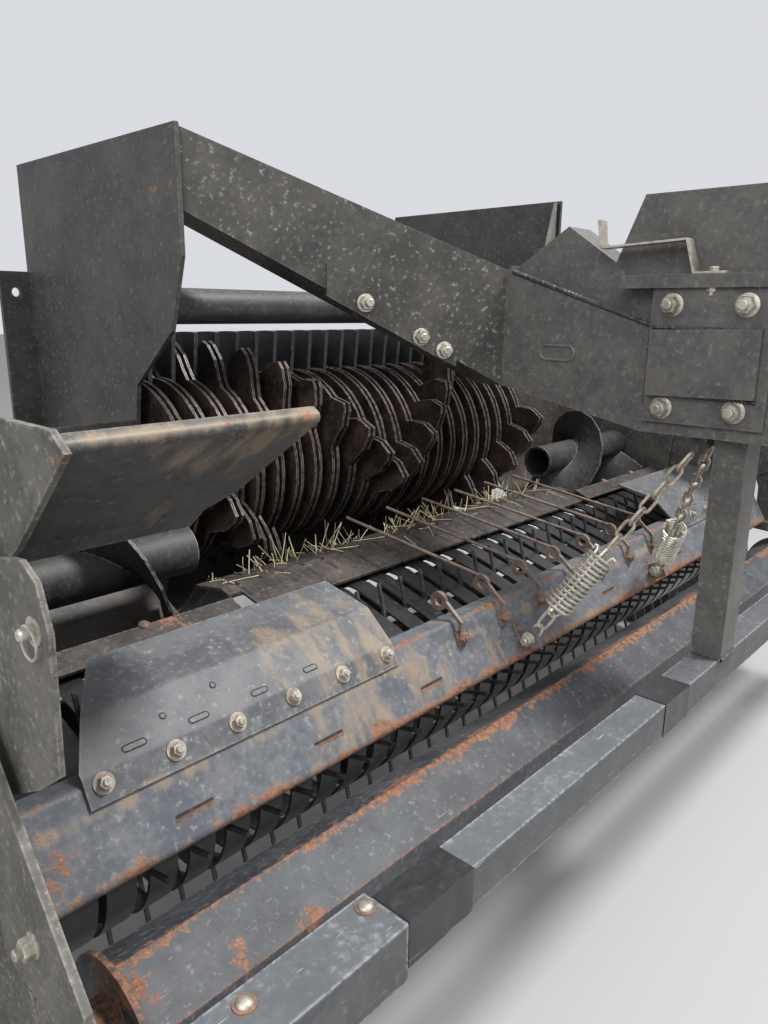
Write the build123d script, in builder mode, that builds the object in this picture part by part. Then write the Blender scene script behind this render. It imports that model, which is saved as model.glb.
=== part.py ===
from build123d import *
import math
import os

# Pickup and feed unit of a round baler, in millimetres.
# X runs across the machine, -Y is the way it travels and +Z is up.
# The origin is the middle of the bolt pattern on the two rear flanges.
# Right and left are the driver's, so the right side is at -X.

os.makedirs("parts", exist_ok=True)

SIDES = (("right", -1), ("left", 1))
RUNNING_GAP = 0.3

# Feed rotor
ROTOR_Y = -314.0
ROTOR_Z = -60.0
ROTOR_TIP_R = 252.0
ROTOR_TUBE_R = 95.0
ROTOR_SHAFT_R = 30.0
ROTOR_HALF_LENGTH = 535.0
STAR_COUNT = 22
STAR_PITCH = 49.0
STAR_PLATE_T = 6.0
STAR_PLATE_GAP = 8.0
STAR_BODY_R = 184.0
STAR_ARMS = 3
STAR_STEP_DEG = 13.2
STAR_CENTRE_DEG = 188.4
STAR_LEFT_LAG_DEG = 6.0

# Housing round the rotor
SIDE_PLATE_X = 548.0
SIDE_PLATE_T = 8.0
SHEET_T = 5.0
FLANGE_WIDTH = 60.0
FLANGE_T = 10.0
FLANGE_HALF_HEIGHT = 320.0
MOUNT_HOLE_R = 9.0
MOUNT_HOLE_HALF_Z = 280.0
OUTER_PLATE_X = 1010.0
OUTER_PLATE_T = 6.0

# Feed floor
FLOOR_FRONT_Y = -695.0
FLOOR_FRONT_Z = -222.0
FLOOR_GAP = 20.0
FLOOR_KNEE_DEG = 215.0
KNIFE_SLOT_WIDTH = 9.0
KNIFE_SLOT_START_Y = -560.0
KNIFE_SLOT_END_Y = -400.0
NOTCH_WIDTH = 26.0
NOTCH_DEPTH = 60.0

# Augers beside the rotor
AUGER_Y = -530.0
AUGER_Z = -148.0
AUGER_R = 125.0
AUGER_TUBE_R = 42.0
AUGER_TUBE_WALL = 6.0
AUGER_SHAFT_R = 20.0
AUGER_INNER_X = 560.0
AUGER_FLIGHT_T = 5.0
AUGER_TURNS = 1.25
AUGER_START_DEG = 297.0
AUGER_STEPS = 20
TROUGH_GAP = 12.0

# Pickup, hinged on stubs above the rotor axis
PICKUP_PIVOT_Y = -310.0
PICKUP_PIVOT_Z = 0.0
PICKUP_PLATE_X = OUTER_PLATE_X + 20
PICKUP_PLATE_T = 5.0
PICKUP_PIVOT_R = 25.0
PICKUP_LOBE_R = 50.0
REEL_Y = -790.0
REEL_Z = -390.0
REEL_TIP_R = 180.0
REEL_BAR_R = 95.0
REEL_BAR_TUBE_R = 13.0
REEL_SHAFT_R = 20.0
REEL_TUBE_R = 32.0
REEL_DISC_R = 112.0
REEL_DISC_T = 6.0
REEL_DISC_COUNT = 5
TINE_PITCH = 55.0
TINE_COUNT = 33
TINE_SIZE = 5.5
TINE_ROWS = 4
TINE_PHASE_DEG = -88.0
TINE_TRAIL_DEG = 8.0
BAND_R = 140.0
BAND_T = 4.0
BAND_WIDTH = 38.0
BAND_RAIL = 14.0

# Crop guard, hinged on the outer plates
GUARD_PIVOT_Y = -520.0
GUARD_PIVOT_Z = 80.0
GUARD_PIN_R = 14.0
GUARD_ARM_X = PICKUP_PLATE_X + 16
GUARD_ARM_T = 8.0
GUARD_HALF_LENGTH = PICKUP_PLATE_X - 6
GUARD_FOLD = (-947.0, -224.0)
GUARD_FACE_LENGTH = 106.0
GUARD_FACE_DEG = 240.0
GUARD_FLANGE = 32.0
GUARD_RETURN = 30.0

# Ears for the chains and rods over the bands
LUG_XS = (-200.0, 300.0)
LUG_T = 8.0
LUG_WIDTH = 34.0
LUG_DOWN = 80.0
LUG_REACH = 34.0
LUG_HOLE_R = 7.0
ROD_COUNT = 7
ROD_PITCH = 115.0
ROD_R = 3.0
COIL_T = 7.0
LEG_SIZE = 6.0
ROD_COIL = (-919.0, -198.0)
ROD_COIL_R = 12.0
ROD_END = (-590.0, -145.0)
ROD_PAD_T = 5.0

# Hexagonal roller in front of the tines
ROLLER_Y = -1052.0
ROLLER_Z = -428.0
ROLLER_R = 75.0
ROLLER_HALF_LENGTH = GUARD_ARM_X - 56
ROLLER_DISC_R = 80.0
ROLLER_DISC_T = 6.0
ROLLER_CAP_R = 40.0
ROLLER_SHAFT_R = 20.0

# Front guard bar, its post and the neck above it
BAR_BACK_Y = -1210.0
BAR_TOP_Z = -299.0
BAR_DEPTH = 45.0
BAR_HEIGHT = 50.0
BAR_WALL = 4.0
BAR_HALF_LENGTH = OUTER_PLATE_X - 10
SLEEVE_INNER_X = 807.0
SLEEVE_WALL = 6.0
POST_WIDTH = 60.0
POST_DEPTH = 50.0
POST_WALL = 5.0
NECK_HALF_WIDTH = 60.0
NECK_WALL = 10.0
NECK_BOTTOM_Z = 65.0
NECK_NOSE = 97.5
NECK_FOLD_Y = -825.0
NECK_TOP_Z = 430.0
NECK_STEP_Y = -1050.0
JOINT_PLATE_T = 8.0
JOINT_BOX_T = 12.0
NECK_WEB_HALF = 36.0
NECK_WEB_T = 8.0
NECK_LEDGE = 16.0
NECK_LEDGE_Z = 288.0
NECK_LEDGE_T = 20.0
ARM_T = 10.0
ARM_FOLD_LOW_Z = 120.0
ARM_FOLD_TOP_Z = 323.0
ARM_FLANGE = 60.0
ARM_STRIP_T = 12.0
ARM_STRIP_HEIGHT = 40.0

# Gauge wheels
WHEEL_Y = -600.0
WHEEL_Z = -600.0
WHEEL_R = 150.0
WHEEL_WIDTH = 90.0
WHEEL_INNER_X = GUARD_ARM_X + 20
WHEEL_RIM_R = 85.0
WHEEL_AXLE_R = 15.0

# Chains that hold the crop guard up
CHAIN_WIRE = 6.0
LINK_LENGTH = 40.0
LINK_WIDTH = 22.0
LINK_LAP = 0.4
SPRING_R = 24.0
SPRING_WIRE = 6.0


def polar(centre, radius, degrees):
    """Point on a circle in the side view."""
    angle = math.radians(degrees)
    return (centre[0] + radius * math.cos(angle), centre[1] + radius * math.sin(angle))


def save(piece, name):
    """Label a finished piece and write its file."""
    piece.part.label = name
    export_step(piece.part, f"parts/{name}.step")


def outward(side, x_inner, thickness):
    """Plane of a side plate's lower X face, for a plate that lies outside x_inner."""
    start = x_inner if side > 0 else -x_inner - thickness
    return Plane.YZ.offset(start)


rotor_axis = (ROTOR_Y, ROTOR_Z)
pickup_pivot = (PICKUP_PIVOT_Y, PICKUP_PIVOT_Z)
auger_axis = (AUGER_Y, AUGER_Z)
reel_axis = (REEL_Y, REEL_Z)
guard_pivot = (GUARD_PIVOT_Y, GUARD_PIVOT_Z)
roller_axis = (ROLLER_Y, ROLLER_Z)
wheel_axis = (WHEEL_Y, WHEEL_Z)

# Housing side plates with their rear flanges
CROSS_TUBE = (-470.0, 255.0)
CROSS_TUBE_R = 30.0
side_outline = [(0, -FLANGE_HALF_HEIGHT), (0, 520), (-560, 520), (-560, 330), (-520, 215),
                (-400, 120), (-386, 40), (-386, -300), (-300, -FLANGE_HALF_HEIGHT)]
for name, side in SIDES:
    with BuildPart() as side_plate:
        with BuildSketch(outward(side, SIDE_PLATE_X, SIDE_PLATE_T)):
            with BuildLine():
                Polyline(side_outline, close=True)
            make_face()
            with Locations(rotor_axis):
                Circle(ROTOR_SHAFT_R + RUNNING_GAP, mode=Mode.SUBTRACT)
        extrude(amount=SIDE_PLATE_T)
        flange_x = side * (SIDE_PLATE_X + SIDE_PLATE_T + FLANGE_WIDTH / 2)
        with BuildSketch(Plane.XZ):
            with Locations((flange_x, 0)):
                Rectangle(FLANGE_WIDTH, 2 * FLANGE_HALF_HEIGHT)
            with Locations((flange_x, MOUNT_HOLE_HALF_Z), (flange_x, -MOUNT_HOLE_HALF_Z)):
                Circle(MOUNT_HOLE_R, mode=Mode.SUBTRACT)
        extrude(amount=FLANGE_T)
    save(side_plate, f"side_plate_{name}")

# Cross tube in front of the rotor, high up
with BuildPart() as cross_tube:
    with BuildSketch(Plane.YZ.offset(-SIDE_PLATE_X)):
        with Locations(CROSS_TUBE):
            Circle(CROSS_TUBE_R)
            Circle(CROSS_TUBE_R - SHEET_T, mode=Mode.SUBTRACT)
    extrude(amount=2 * SIDE_PLATE_X)
save(cross_tube, "cross_tube")

# Feed floor: a sheet that rises from its front edge and then wraps under the rotor
floor_r = ROTOR_TIP_R + FLOOR_GAP
floor_knee = polar(rotor_axis, floor_r, FLOOR_KNEE_DEG)
floor_rise = polar(floor_knee, 75, 170)
with BuildPart() as feed_floor:
    with BuildSketch(Plane.YZ.offset(-SIDE_PLATE_X)):
        with BuildLine():
            Polyline([(FLOOR_FRONT_Y, FLOOR_FRONT_Z), floor_rise, floor_knee])
            CenterArc(rotor_axis, floor_r, FLOOR_KNEE_DEG, 305 - FLOOR_KNEE_DEG)
            offset(amount=SHEET_T, side=Side.RIGHT)
        make_face()
    extrude(amount=2 * SIDE_PLATE_X)
    with BuildSketch(Plane.XY.offset(ROTOR_Z - floor_r - SHEET_T)):
        with Locations((0, (KNIFE_SLOT_START_Y + KNIFE_SLOT_END_Y) / 2)):
            with GridLocations(STAR_PITCH, 1, STAR_COUNT, 1):
                Rectangle(KNIFE_SLOT_WIDTH, KNIFE_SLOT_END_Y - KNIFE_SLOT_START_Y)
        notch_x = SIDE_PLATE_X - NOTCH_WIDTH / 2
        notch_y = FLOOR_FRONT_Y + NOTCH_DEPTH / 2
        with Locations((-notch_x, notch_y), (notch_x, notch_y)):
            Rectangle(NOTCH_WIDTH, NOTCH_DEPTH)
    extrude(amount=floor_r, mode=Mode.SUBTRACT)
save(feed_floor, "feed_floor")

# Auger troughs beside the floor, with the wall behind each auger
trough_r = AUGER_R + TROUGH_GAP
for name, side in SIDES:
    with BuildPart() as trough:
        trough_start = SIDE_PLATE_X + SIDE_PLATE_T
        trough_length = OUTER_PLATE_X - trough_start
        with BuildSketch(outward(side, trough_start, trough_length)):
            with BuildLine():
                Line((FLOOR_FRONT_Y, FLOOR_FRONT_Z), polar(auger_axis, trough_r, 205))
                CenterArc(auger_axis, trough_r, 205, 155)
                Line((AUGER_Y + trough_r, AUGER_Z), (AUGER_Y + trough_r, 60))
                offset(amount=SHEET_T, side=Side.RIGHT)
            make_face()
        extrude(amount=trough_length)
    save(trough, f"auger_trough_{name}")

# Outer plates, which carry the augers, the pickup and the crop guard
outer_outline = [(-262, -60), (-262, 60), (-380, 130), (-700, 165), (-1090, 165), (-1112, 150),
                 (-1007, 57), (-944, 18), (-870, -10), (-720, -60), (-702, -230), (-648, -232),
                 (-618, -265), (-570, -292),
                 (-490, -292), (-430, -262), (-380, -210), (-370, -60)]
for name, side in SIDES:
    with BuildPart() as outer_plate:
        with BuildSketch(outward(side, OUTER_PLATE_X, OUTER_PLATE_T)):
            with BuildLine():
                Polyline(outer_outline, close=True)
            make_face()
            with Locations(auger_axis):
                Circle(AUGER_SHAFT_R + RUNNING_GAP, mode=Mode.SUBTRACT)
        extrude(amount=OUTER_PLATE_T)
        stub_start = OUTER_PLATE_X + OUTER_PLATE_T
        pin_length = GUARD_ARM_X + GUARD_ARM_T + 4 - stub_start
        with BuildSketch(outward(side, stub_start, pin_length)):
            with Locations(guard_pivot):
                Circle(GUARD_PIN_R)
        extrude(amount=pin_length)
        pivot_length = PICKUP_PLATE_X + PICKUP_PLATE_T + 4 - stub_start
        with BuildSketch(outward(side, stub_start, pivot_length)):
            with Locations(pickup_pivot):
                Circle(PICKUP_PIVOT_R)
        extrude(amount=pivot_length)
    save(outer_plate, f"outer_plate_{name}")

# Hoods over the augers, sloping down to the rear, with a lip along the front edge
HOOD_INNER_X = 740.0
hood_line = [(-1066, 158), (-1082, 148), (-895, 23), (-878, 2)]
HOOD_LOW_CUT = 34.0
for name, side in SIDES:
    with BuildPart() as hood:
        hood_length = OUTER_PLATE_X - HOOD_INNER_X
        with BuildSketch(outward(side, HOOD_INNER_X, hood_length)):
            with BuildLine():
                FilletPolyline(hood_line, radius=7)
                offset(amount=SHEET_T, side=Side.LEFT)
            make_face()
        extrude(amount=hood_length)
        cut_x = HOOD_INNER_X - 1
        cut_y = hood_line[-1][0] + 8
        with BuildSketch(Plane.XY.offset(-SHEET_T)):
            with BuildLine():
                Polyline([(side * cut_x, cut_y), (side * cut_x, cut_y - 2 * HOOD_LOW_CUT),
                          (side * (cut_x + HOOD_LOW_CUT), cut_y)], close=True)
            make_face()
        extrude(amount=80, mode=Mode.SUBTRACT)
    save(hood, f"auger_hood_{name}")

# Stripper comb behind the rotor, one bar in each space between two stars
COMB_INNER_R = 110.0
COMB_FLOOR_GAP = 4.0
COMB_T = 8.0
COMB_BEAM_DEPTH = 40.0
COMB_BEAM_HEIGHT = 80.0
comb_outer_r = floor_r - COMB_FLOOR_GAP
comb_from = -70
comb_to = 96
with BuildPart() as stripper_comb:
    for index in range(STAR_COUNT + 1):
        bar_x = (index - STAR_COUNT / 2) * STAR_PITCH
        with BuildSketch(Plane.YZ.offset(bar_x - COMB_T / 2)):
            with BuildLine():
                CenterArc(rotor_axis, comb_outer_r, comb_from, comb_to - comb_from)
                CenterArc(rotor_axis, COMB_INNER_R, comb_from, comb_to - comb_from)
                Line(polar(rotor_axis, COMB_INNER_R, comb_from), polar(rotor_axis, comb_outer_r, comb_from))
                Line(polar(rotor_axis, COMB_INNER_R, comb_to), polar(rotor_axis, comb_outer_r, comb_to))
            make_face()
    extrude(amount=COMB_T)
    with Locations((0, ROTOR_Y + comb_outer_r + COMB_BEAM_DEPTH / 2 - 8, ROTOR_Z)):
        Box(2 * SIDE_PLATE_X, COMB_BEAM_DEPTH, COMB_BEAM_HEIGHT)
save(stripper_comb, "stripper_comb")

# Feed rotor: a tube with twin star plates, stepped round it to a V.
# Each plate is a disc with three fins, whose outline is radius and angle from the tip.
star_fin = [(STAR_BODY_R, -11.0), (205.0, -9.0), (230.0, -6.0), (ROTOR_TIP_R, 0.0), (ROTOR_TIP_R - 5, 3.5),
            (226.0, 10.0), (200.0, 15.0), (STAR_BODY_R, 20.0)]
fin_pitch = 360 / STAR_ARMS
fin_from = star_fin[0][1]
fin_to = star_fin[-1][1]
with BuildPart() as rotor:
    with BuildSketch(Plane.YZ.offset(-ROTOR_HALF_LENGTH)):
        with Locations(rotor_axis):
            Circle(ROTOR_TUBE_R)
    extrude(amount=2 * ROTOR_HALF_LENGTH)
    shaft_half = SIDE_PLATE_X + SIDE_PLATE_T + 30
    with BuildSketch(Plane.YZ.offset(-shaft_half)):
        with Locations(rotor_axis):
            Circle(ROTOR_SHAFT_R)
    extrude(amount=2 * shaft_half)
    for index in range(STAR_COUNT):
        star_x = (index - (STAR_COUNT - 1) / 2) * STAR_PITCH
        steps_out = abs(star_x) / STAR_PITCH - 0.5
        turn = STAR_CENTRE_DEG - STAR_STEP_DEG * steps_out
        if star_x > 0:
            turn -= STAR_LEFT_LAG_DEG
        plate_starts = (star_x - STAR_PLATE_GAP / 2 - STAR_PLATE_T, star_x + STAR_PLATE_GAP / 2)
        with BuildSketch(*[Plane.YZ.offset(start) for start in plate_starts]):
            with BuildLine():
                for arm in range(STAR_ARMS):
                    tip = turn + arm * fin_pitch
                    Polyline([polar(rotor_axis, r, tip + a) for r, a in star_fin])
                    CenterArc(rotor_axis, STAR_BODY_R, tip + fin_to, fin_pitch + fin_from - fin_to)
            make_face()
    extrude(amount=STAR_PLATE_T)
save(rotor, "rotor")

# Augers: an open tube with one helical flight
for name, side in SIDES:
    with BuildPart() as auger:
        tube_end = OUTER_PLATE_X - 4
        tube_length = tube_end - AUGER_INNER_X
        with BuildSketch(outward(side, AUGER_INNER_X, tube_length)):
            with Locations(auger_axis):
                Circle(AUGER_TUBE_R)
                Circle(AUGER_TUBE_R - AUGER_TUBE_WALL, mode=Mode.SUBTRACT)
        extrude(amount=tube_length)
        with BuildSketch(outward(side, tube_end - 10, 10)):
            with Locations(auger_axis):
                Circle(AUGER_TUBE_R)
        extrude(amount=10)
        shaft_length = OUTER_PLATE_X + OUTER_PLATE_T + 6 - tube_end
        with BuildSketch(outward(side, tube_end, shaft_length)):
            with Locations(auger_axis):
                Circle(AUGER_SHAFT_R)
        extrude(amount=shaft_length)
        flight_run = tube_length - 40
        sections = []
        for step in range(AUGER_STEPS + 1):
            share = step / AUGER_STEPS
            angle = math.radians(AUGER_START_DEG - 360 * AUGER_TURNS * share)
            radial = Vector(0, math.cos(angle), math.sin(angle))
            middle_x = side * (AUGER_INNER_X + 20 + flight_run * share)
            middle_r = (AUGER_TUBE_R - 2 + AUGER_R) / 2
            centre = Vector(middle_x, AUGER_Y, AUGER_Z) + radial * middle_r
            plane = Plane(origin=centre, x_dir=radial, z_dir=Vector(1, 0, 0).cross(radial))
            with BuildSketch(plane) as section:
                Rectangle(AUGER_R - AUGER_TUBE_R + 2, AUGER_FLIGHT_T)
            sections.append(section.sketch)
        loft(sections=sections, ruled=True)
    save(auger, f"auger_{name}")

# Pickup side plates, with a folded edge in front
pickup_outline = [(-290, 48), (-620, 40), (-960, 42), (-1030, 60), (-1060, 64), (-1084, 52), (-1098, 14),
                  (-1090, -110), (-1046, -142), (-940, -200), (-950, -330), (-965, -450), (-900, -560),
                  (-800, -592), (-690, -575), (-640, -640), (-560, -640), (-500, -400),
                  (-400, -100), (-290, -48)]
for name, side in SIDES:
    with BuildPart() as pickup_side:
        with BuildSketch(outward(side, PICKUP_PLATE_X, PICKUP_PLATE_T)):
            with BuildLine():
                Polyline(pickup_outline, close=True)
            make_face()
            with Locations(pickup_pivot):
                Circle(PICKUP_LOBE_R)
                Circle(PICKUP_PIVOT_R + RUNNING_GAP, mode=Mode.SUBTRACT)
            with Locations(reel_axis):
                Circle(REEL_SHAFT_R + RUNNING_GAP, mode=Mode.SUBTRACT)
        extrude(amount=PICKUP_PLATE_T)
        axle_start = PICKUP_PLATE_X + PICKUP_PLATE_T
        axle_length = WHEEL_INNER_X + WHEEL_WIDTH + 10 - axle_start
        with BuildSketch(outward(side, axle_start, axle_length)):
            with Locations(wheel_axis):
                Circle(WHEEL_AXLE_R)
        extrude(amount=axle_length)
    save(pickup_side, f"pickup_side_{name}")

# Pickup cross tube under the floor
PICKUP_TUBE = (-570.0, -362.0)
PICKUP_TUBE_R = 35.0
with BuildPart() as pickup_tube:
    with BuildSketch(Plane.YZ.offset(-PICKUP_PLATE_X)):
        with Locations(PICKUP_TUBE):
            Circle(PICKUP_TUBE_R)
            Circle(PICKUP_TUBE_R - SHEET_T, mode=Mode.SUBTRACT)
    extrude(amount=2 * PICKUP_PLATE_X)
save(pickup_tube, "pickup_tube")

# Stripper bands round the reel, on an upper and a lower rail
top_rail = (-656.0, -246.0)
low_rail = (-636.0, -523.0)
with BuildPart() as stripper_bands:
    bands = [((n - (TINE_COUNT) / 2) * TINE_PITCH, BAND_WIDTH) for n in range(TINE_COUNT + 1)]
    end_width = PICKUP_PLATE_X - (TINE_COUNT + 1) * TINE_PITCH / 2 - 2
    end_x = PICKUP_PLATE_X - end_width / 2
    bands += [(-end_x, end_width), (end_x, end_width)]
    for first, last in ((0, TINE_COUNT + 1), (TINE_COUNT + 1, TINE_COUNT + 3)):
        width = bands[first][1]
        with BuildSketch(*[Plane.YZ.offset(x - width / 2) for x, _ in bands[first:last]]):
            with BuildLine():
                Polyline([(top_rail[0], top_rail[1] + BAND_RAIL / 2), (-705, REEL_Z + BAND_R + 8),
                          (REEL_Y, REEL_Z + BAND_R)])
                CenterArc(reel_axis, BAND_R, 90, 180)
                Line((REEL_Y, REEL_Z - BAND_R), (low_rail[0], low_rail[1] - BAND_RAIL / 2))
                offset(amount=BAND_T, side=Side.LEFT)
            make_face()
        extrude(amount=width)
    with Locations((0, top_rail[0], top_rail[1]), (0, low_rail[0], low_rail[1])):
        Box(2 * PICKUP_PLATE_X, BAND_RAIL, BAND_RAIL)
save(stripper_bands, "stripper_bands")

# Tine reel
with BuildPart() as reel:
    reel_half = PICKUP_PLATE_X - 10
    with BuildSketch(Plane.YZ.offset(-reel_half)):
        with Locations(reel_axis):
            Circle(REEL_TUBE_R)
    extrude(amount=2 * reel_half)
    shaft_half = PICKUP_PLATE_X + PICKUP_PLATE_T + 3
    with BuildSketch(Plane.YZ.offset(-shaft_half)):
        with Locations(reel_axis):
            Circle(REEL_SHAFT_R)
    extrude(amount=2 * shaft_half)
    tine_half = (TINE_COUNT - 1) / 2 * TINE_PITCH
    disc_span = 2 * (tine_half + TINE_PITCH / 2)
    for index in range(REEL_DISC_COUNT):
        disc_x = -disc_span / 2 + index * disc_span / (REEL_DISC_COUNT - 1)
        with BuildSketch(Plane.YZ.offset(disc_x - REEL_DISC_T / 2)):
            with Locations(reel_axis):
                Circle(REEL_DISC_R)
        extrude(amount=REEL_DISC_T)
    for row in range(TINE_ROWS):
        turn = TINE_PHASE_DEG + row * 360 / TINE_ROWS
        foot = polar(reel_axis, REEL_BAR_R, turn)
        tip = polar(reel_axis, REEL_TIP_R, turn - TINE_TRAIL_DEG)
        with BuildSketch(Plane.YZ.offset(-disc_span / 2)):
            with Locations(foot):
                Circle(REEL_BAR_TUBE_R)
        extrude(amount=disc_span)
        run = math.dist(foot, tip)
        lean = Vector(0, tip[0] - foot[0], tip[1] - foot[1])
        middle = Vector(0, (foot[0] + tip[0]) / 2, (foot[1] + tip[1]) / 2)
        with BuildSketch(Plane(origin=middle, x_dir=(1, 0, 0), z_dir=Vector(1, 0, 0).cross(lean))):
            with GridLocations(TINE_PITCH, 1, TINE_COUNT, 1):
                Rectangle(TINE_SIZE, run)
        extrude(amount=TINE_SIZE / 2, both=True)
save(reel, "tine_reel")

# Gauge wheels
for name, side in SIDES:
    with BuildPart() as rim:
        with BuildSketch(outward(side, WHEEL_INNER_X, WHEEL_WIDTH)):
            with Locations(wheel_axis):
                Circle(WHEEL_RIM_R)
                Circle(WHEEL_RIM_R - 8, mode=Mode.SUBTRACT)
        extrude(amount=WHEEL_WIDTH)
        with BuildSketch(outward(side, WHEEL_INNER_X + WHEEL_WIDTH / 2 - 4, 8)):
            with Locations(wheel_axis):
                Circle(WHEEL_RIM_R - 4)
                Circle(WHEEL_AXLE_R + 10, mode=Mode.SUBTRACT)
        extrude(amount=8)
        with BuildSketch(outward(side, WHEEL_INNER_X, WHEEL_WIDTH)):
            with Locations(wheel_axis):
                Circle(WHEEL_AXLE_R + 12)
                Circle(WHEEL_AXLE_R + RUNNING_GAP, mode=Mode.SUBTRACT)
        extrude(amount=WHEEL_WIDTH)
    save(rim, f"wheel_rim_{name}")
    with BuildPart() as tyre:
        with BuildSketch(outward(side, WHEEL_INNER_X, WHEEL_WIDTH)):
            with Locations(wheel_axis):
                Circle(WHEEL_R)
                Circle(WHEEL_RIM_R, mode=Mode.SUBTRACT)
        extrude(amount=WHEEL_WIDTH)
        chamfer(tyre.edges().filter_by(GeomType.CIRCLE).sort_by(SortBy.RADIUS)[-2:], length=16)
    save(tyre, f"wheel_tyre_{name}")

# Crop guard plate: a folded channel
guard_lip = polar(GUARD_FOLD, GUARD_FACE_LENGTH, GUARD_FACE_DEG)
guard_back = polar(GUARD_FOLD, GUARD_FLANGE, -8)
guard_return = polar(guard_lip, GUARD_RETURN, -40)
out_deg = GUARD_FACE_DEG - 90
lug_eye = polar(polar(GUARD_FOLD, LUG_DOWN, GUARD_FACE_DEG), LUG_REACH - LUG_WIDTH / 2, out_deg)
with BuildPart() as guard_plate:
    with BuildSketch(Plane.YZ.offset(-GUARD_HALF_LENGTH)):
        with BuildLine():
            FilletPolyline([guard_back, GUARD_FOLD, guard_lip, guard_return], radius=9)
            offset(amount=SHEET_T, side=Side.LEFT)
        make_face()
    extrude(amount=2 * GUARD_HALF_LENGTH)
    with BuildSketch(*[Plane.YZ.offset(x - LUG_T / 2) for x in LUG_XS]):
        lug_foot = polar(GUARD_FOLD, LUG_DOWN - LUG_WIDTH / 2, GUARD_FACE_DEG)
        lug_end = polar(GUARD_FOLD, LUG_DOWN + LUG_WIDTH / 2, GUARD_FACE_DEG)
        with BuildLine():
            Polyline([polar(lug_foot, -1, out_deg), polar(lug_end, -1, out_deg),
                      polar(lug_end, LUG_REACH, out_deg), polar(lug_foot, LUG_REACH, out_deg)], close=True)
        make_face()
        with Locations(lug_eye):
            Circle(LUG_HOLE_R, mode=Mode.SUBTRACT)
    extrude(amount=LUG_T)
save(guard_plate, "guard_plate")

# Spring rods over the bands, each with a coil at its foot
with BuildPart() as spring_rods:
    for index in range(ROD_COUNT):
        rod_x = (index - (ROD_COUNT - 1) / 2) * ROD_PITCH
        foot_y, foot_z = polar(polar(GUARD_FOLD, 30, GUARD_FACE_DEG), ROD_PAD_T / 2, out_deg)
        face_normal = (0,) + polar((0, 0), 1, out_deg)
        face_plane = Plane(origin=(rod_x, foot_y, foot_z), x_dir=(1, 0, 0), z_dir=face_normal)
        with Locations(face_plane):
            Box(18, 24, ROD_PAD_T)
        with BuildSketch(Plane.YZ.offset(rod_x - COIL_T / 2)):
            with Locations(ROD_COIL):
                Circle(ROD_COIL_R + COIL_T / 2)
                Circle(ROD_COIL_R - COIL_T / 2, mode=Mode.SUBTRACT)
        extrude(amount=COIL_T)
        bend = polar(polar(GUARD_FOLD, 8, GUARD_FACE_DEG), 15, out_deg)
        leg_end = polar(polar(GUARD_FOLD, 30, GUARD_FACE_DEG), ROD_PAD_T - 1, out_deg)
        for start, end in ((polar(ROD_COIL, ROD_COIL_R, 175), bend), (bend, leg_end)):
            middle = (rod_x, (start[0] + end[0]) / 2, (start[1] + end[1]) / 2)
            run = Plane(origin=middle, x_dir=(1, 0, 0), z_dir=(0, end[0] - start[0], end[1] - start[1]))
            with Locations(run):
                Box(LEG_SIZE, LEG_SIZE, math.dist(start, end) + LEG_SIZE / 2)
        if index > 0:
            start = polar(ROD_COIL, ROD_COIL_R, 100)
            run = Plane(origin=(rod_x,) + start, z_dir=(0, ROD_END[0] - start[0], ROD_END[1] - start[1]))
            with Locations(run):
                Cylinder(ROD_R, math.dist(start, ROD_END), align=(Align.CENTER, Align.CENTER, Align.MIN))
save(spring_rods, "spring_rods")

# Crop guard arms, each with the stub that carries the plate
arm_outline = [(-500, 108), (-965, -95), (-1133, -300), (-1146, -330), (-1092, -432), (-1012, -432),
               (-1012, -400), (-1050, -352), (-966, -348), (-962, -225), (-925, -130), (-530, 48)]
for name, side in SIDES:
    with BuildPart() as guard_arm:
        with BuildSketch(outward(side, GUARD_ARM_X, GUARD_ARM_T)):
            with BuildLine():
                Polyline(arm_outline, close=True)
            make_face()
            with Locations(guard_pivot):
                Circle(GUARD_PIN_R + 22)
                Circle(GUARD_PIN_R + RUNNING_GAP, mode=Mode.SUBTRACT)
            with Locations(roller_axis):
                Circle(ROLLER_CAP_R)
                Circle(ROLLER_SHAFT_R + RUNNING_GAP, mode=Mode.SUBTRACT)
        extrude(amount=GUARD_ARM_T)
        stub_from = GUARD_HALF_LENGTH
        with BuildSketch(outward(side, stub_from, GUARD_ARM_X - stub_from)):
            with Locations((guard_lip[0] + 10, guard_lip[1] - 14)):
                Rectangle(34, 22)
        extrude(amount=GUARD_ARM_X - stub_from)
    save(guard_arm, f"guard_arm_{name}")

# Deflector plates bolted on the crop guard's face, cut back at the outer end
DEFLECTOR_LENGTH = 469.0
DEFLECTOR_END_GAP = 67.0
DEFLECTOR_T = 4.0
DEFLECTOR_LAP = 26.0
DEFLECTOR_FLAP = (51.0, 46.0)
DEFLECTOR_TOP = (142.0, 64.0)
DEFLECTOR_CUT = 84.0
deflector_x = GUARD_HALF_LENGTH - DEFLECTOR_END_GAP - DEFLECTOR_LENGTH
lap_start = polar(polar(GUARD_FOLD, 0.1, out_deg), DEFLECTOR_LAP, GUARD_FACE_DEG)
lap_end = polar(polar(GUARD_FOLD, 0.1, out_deg), 6, GUARD_FACE_DEG - 180)
flap_fold = (GUARD_FOLD[0] + DEFLECTOR_FLAP[0], GUARD_FOLD[1] + DEFLECTOR_FLAP[1])
flap_top = (GUARD_FOLD[0] + DEFLECTOR_TOP[0], GUARD_FOLD[1] + DEFLECTOR_TOP[1])
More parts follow.
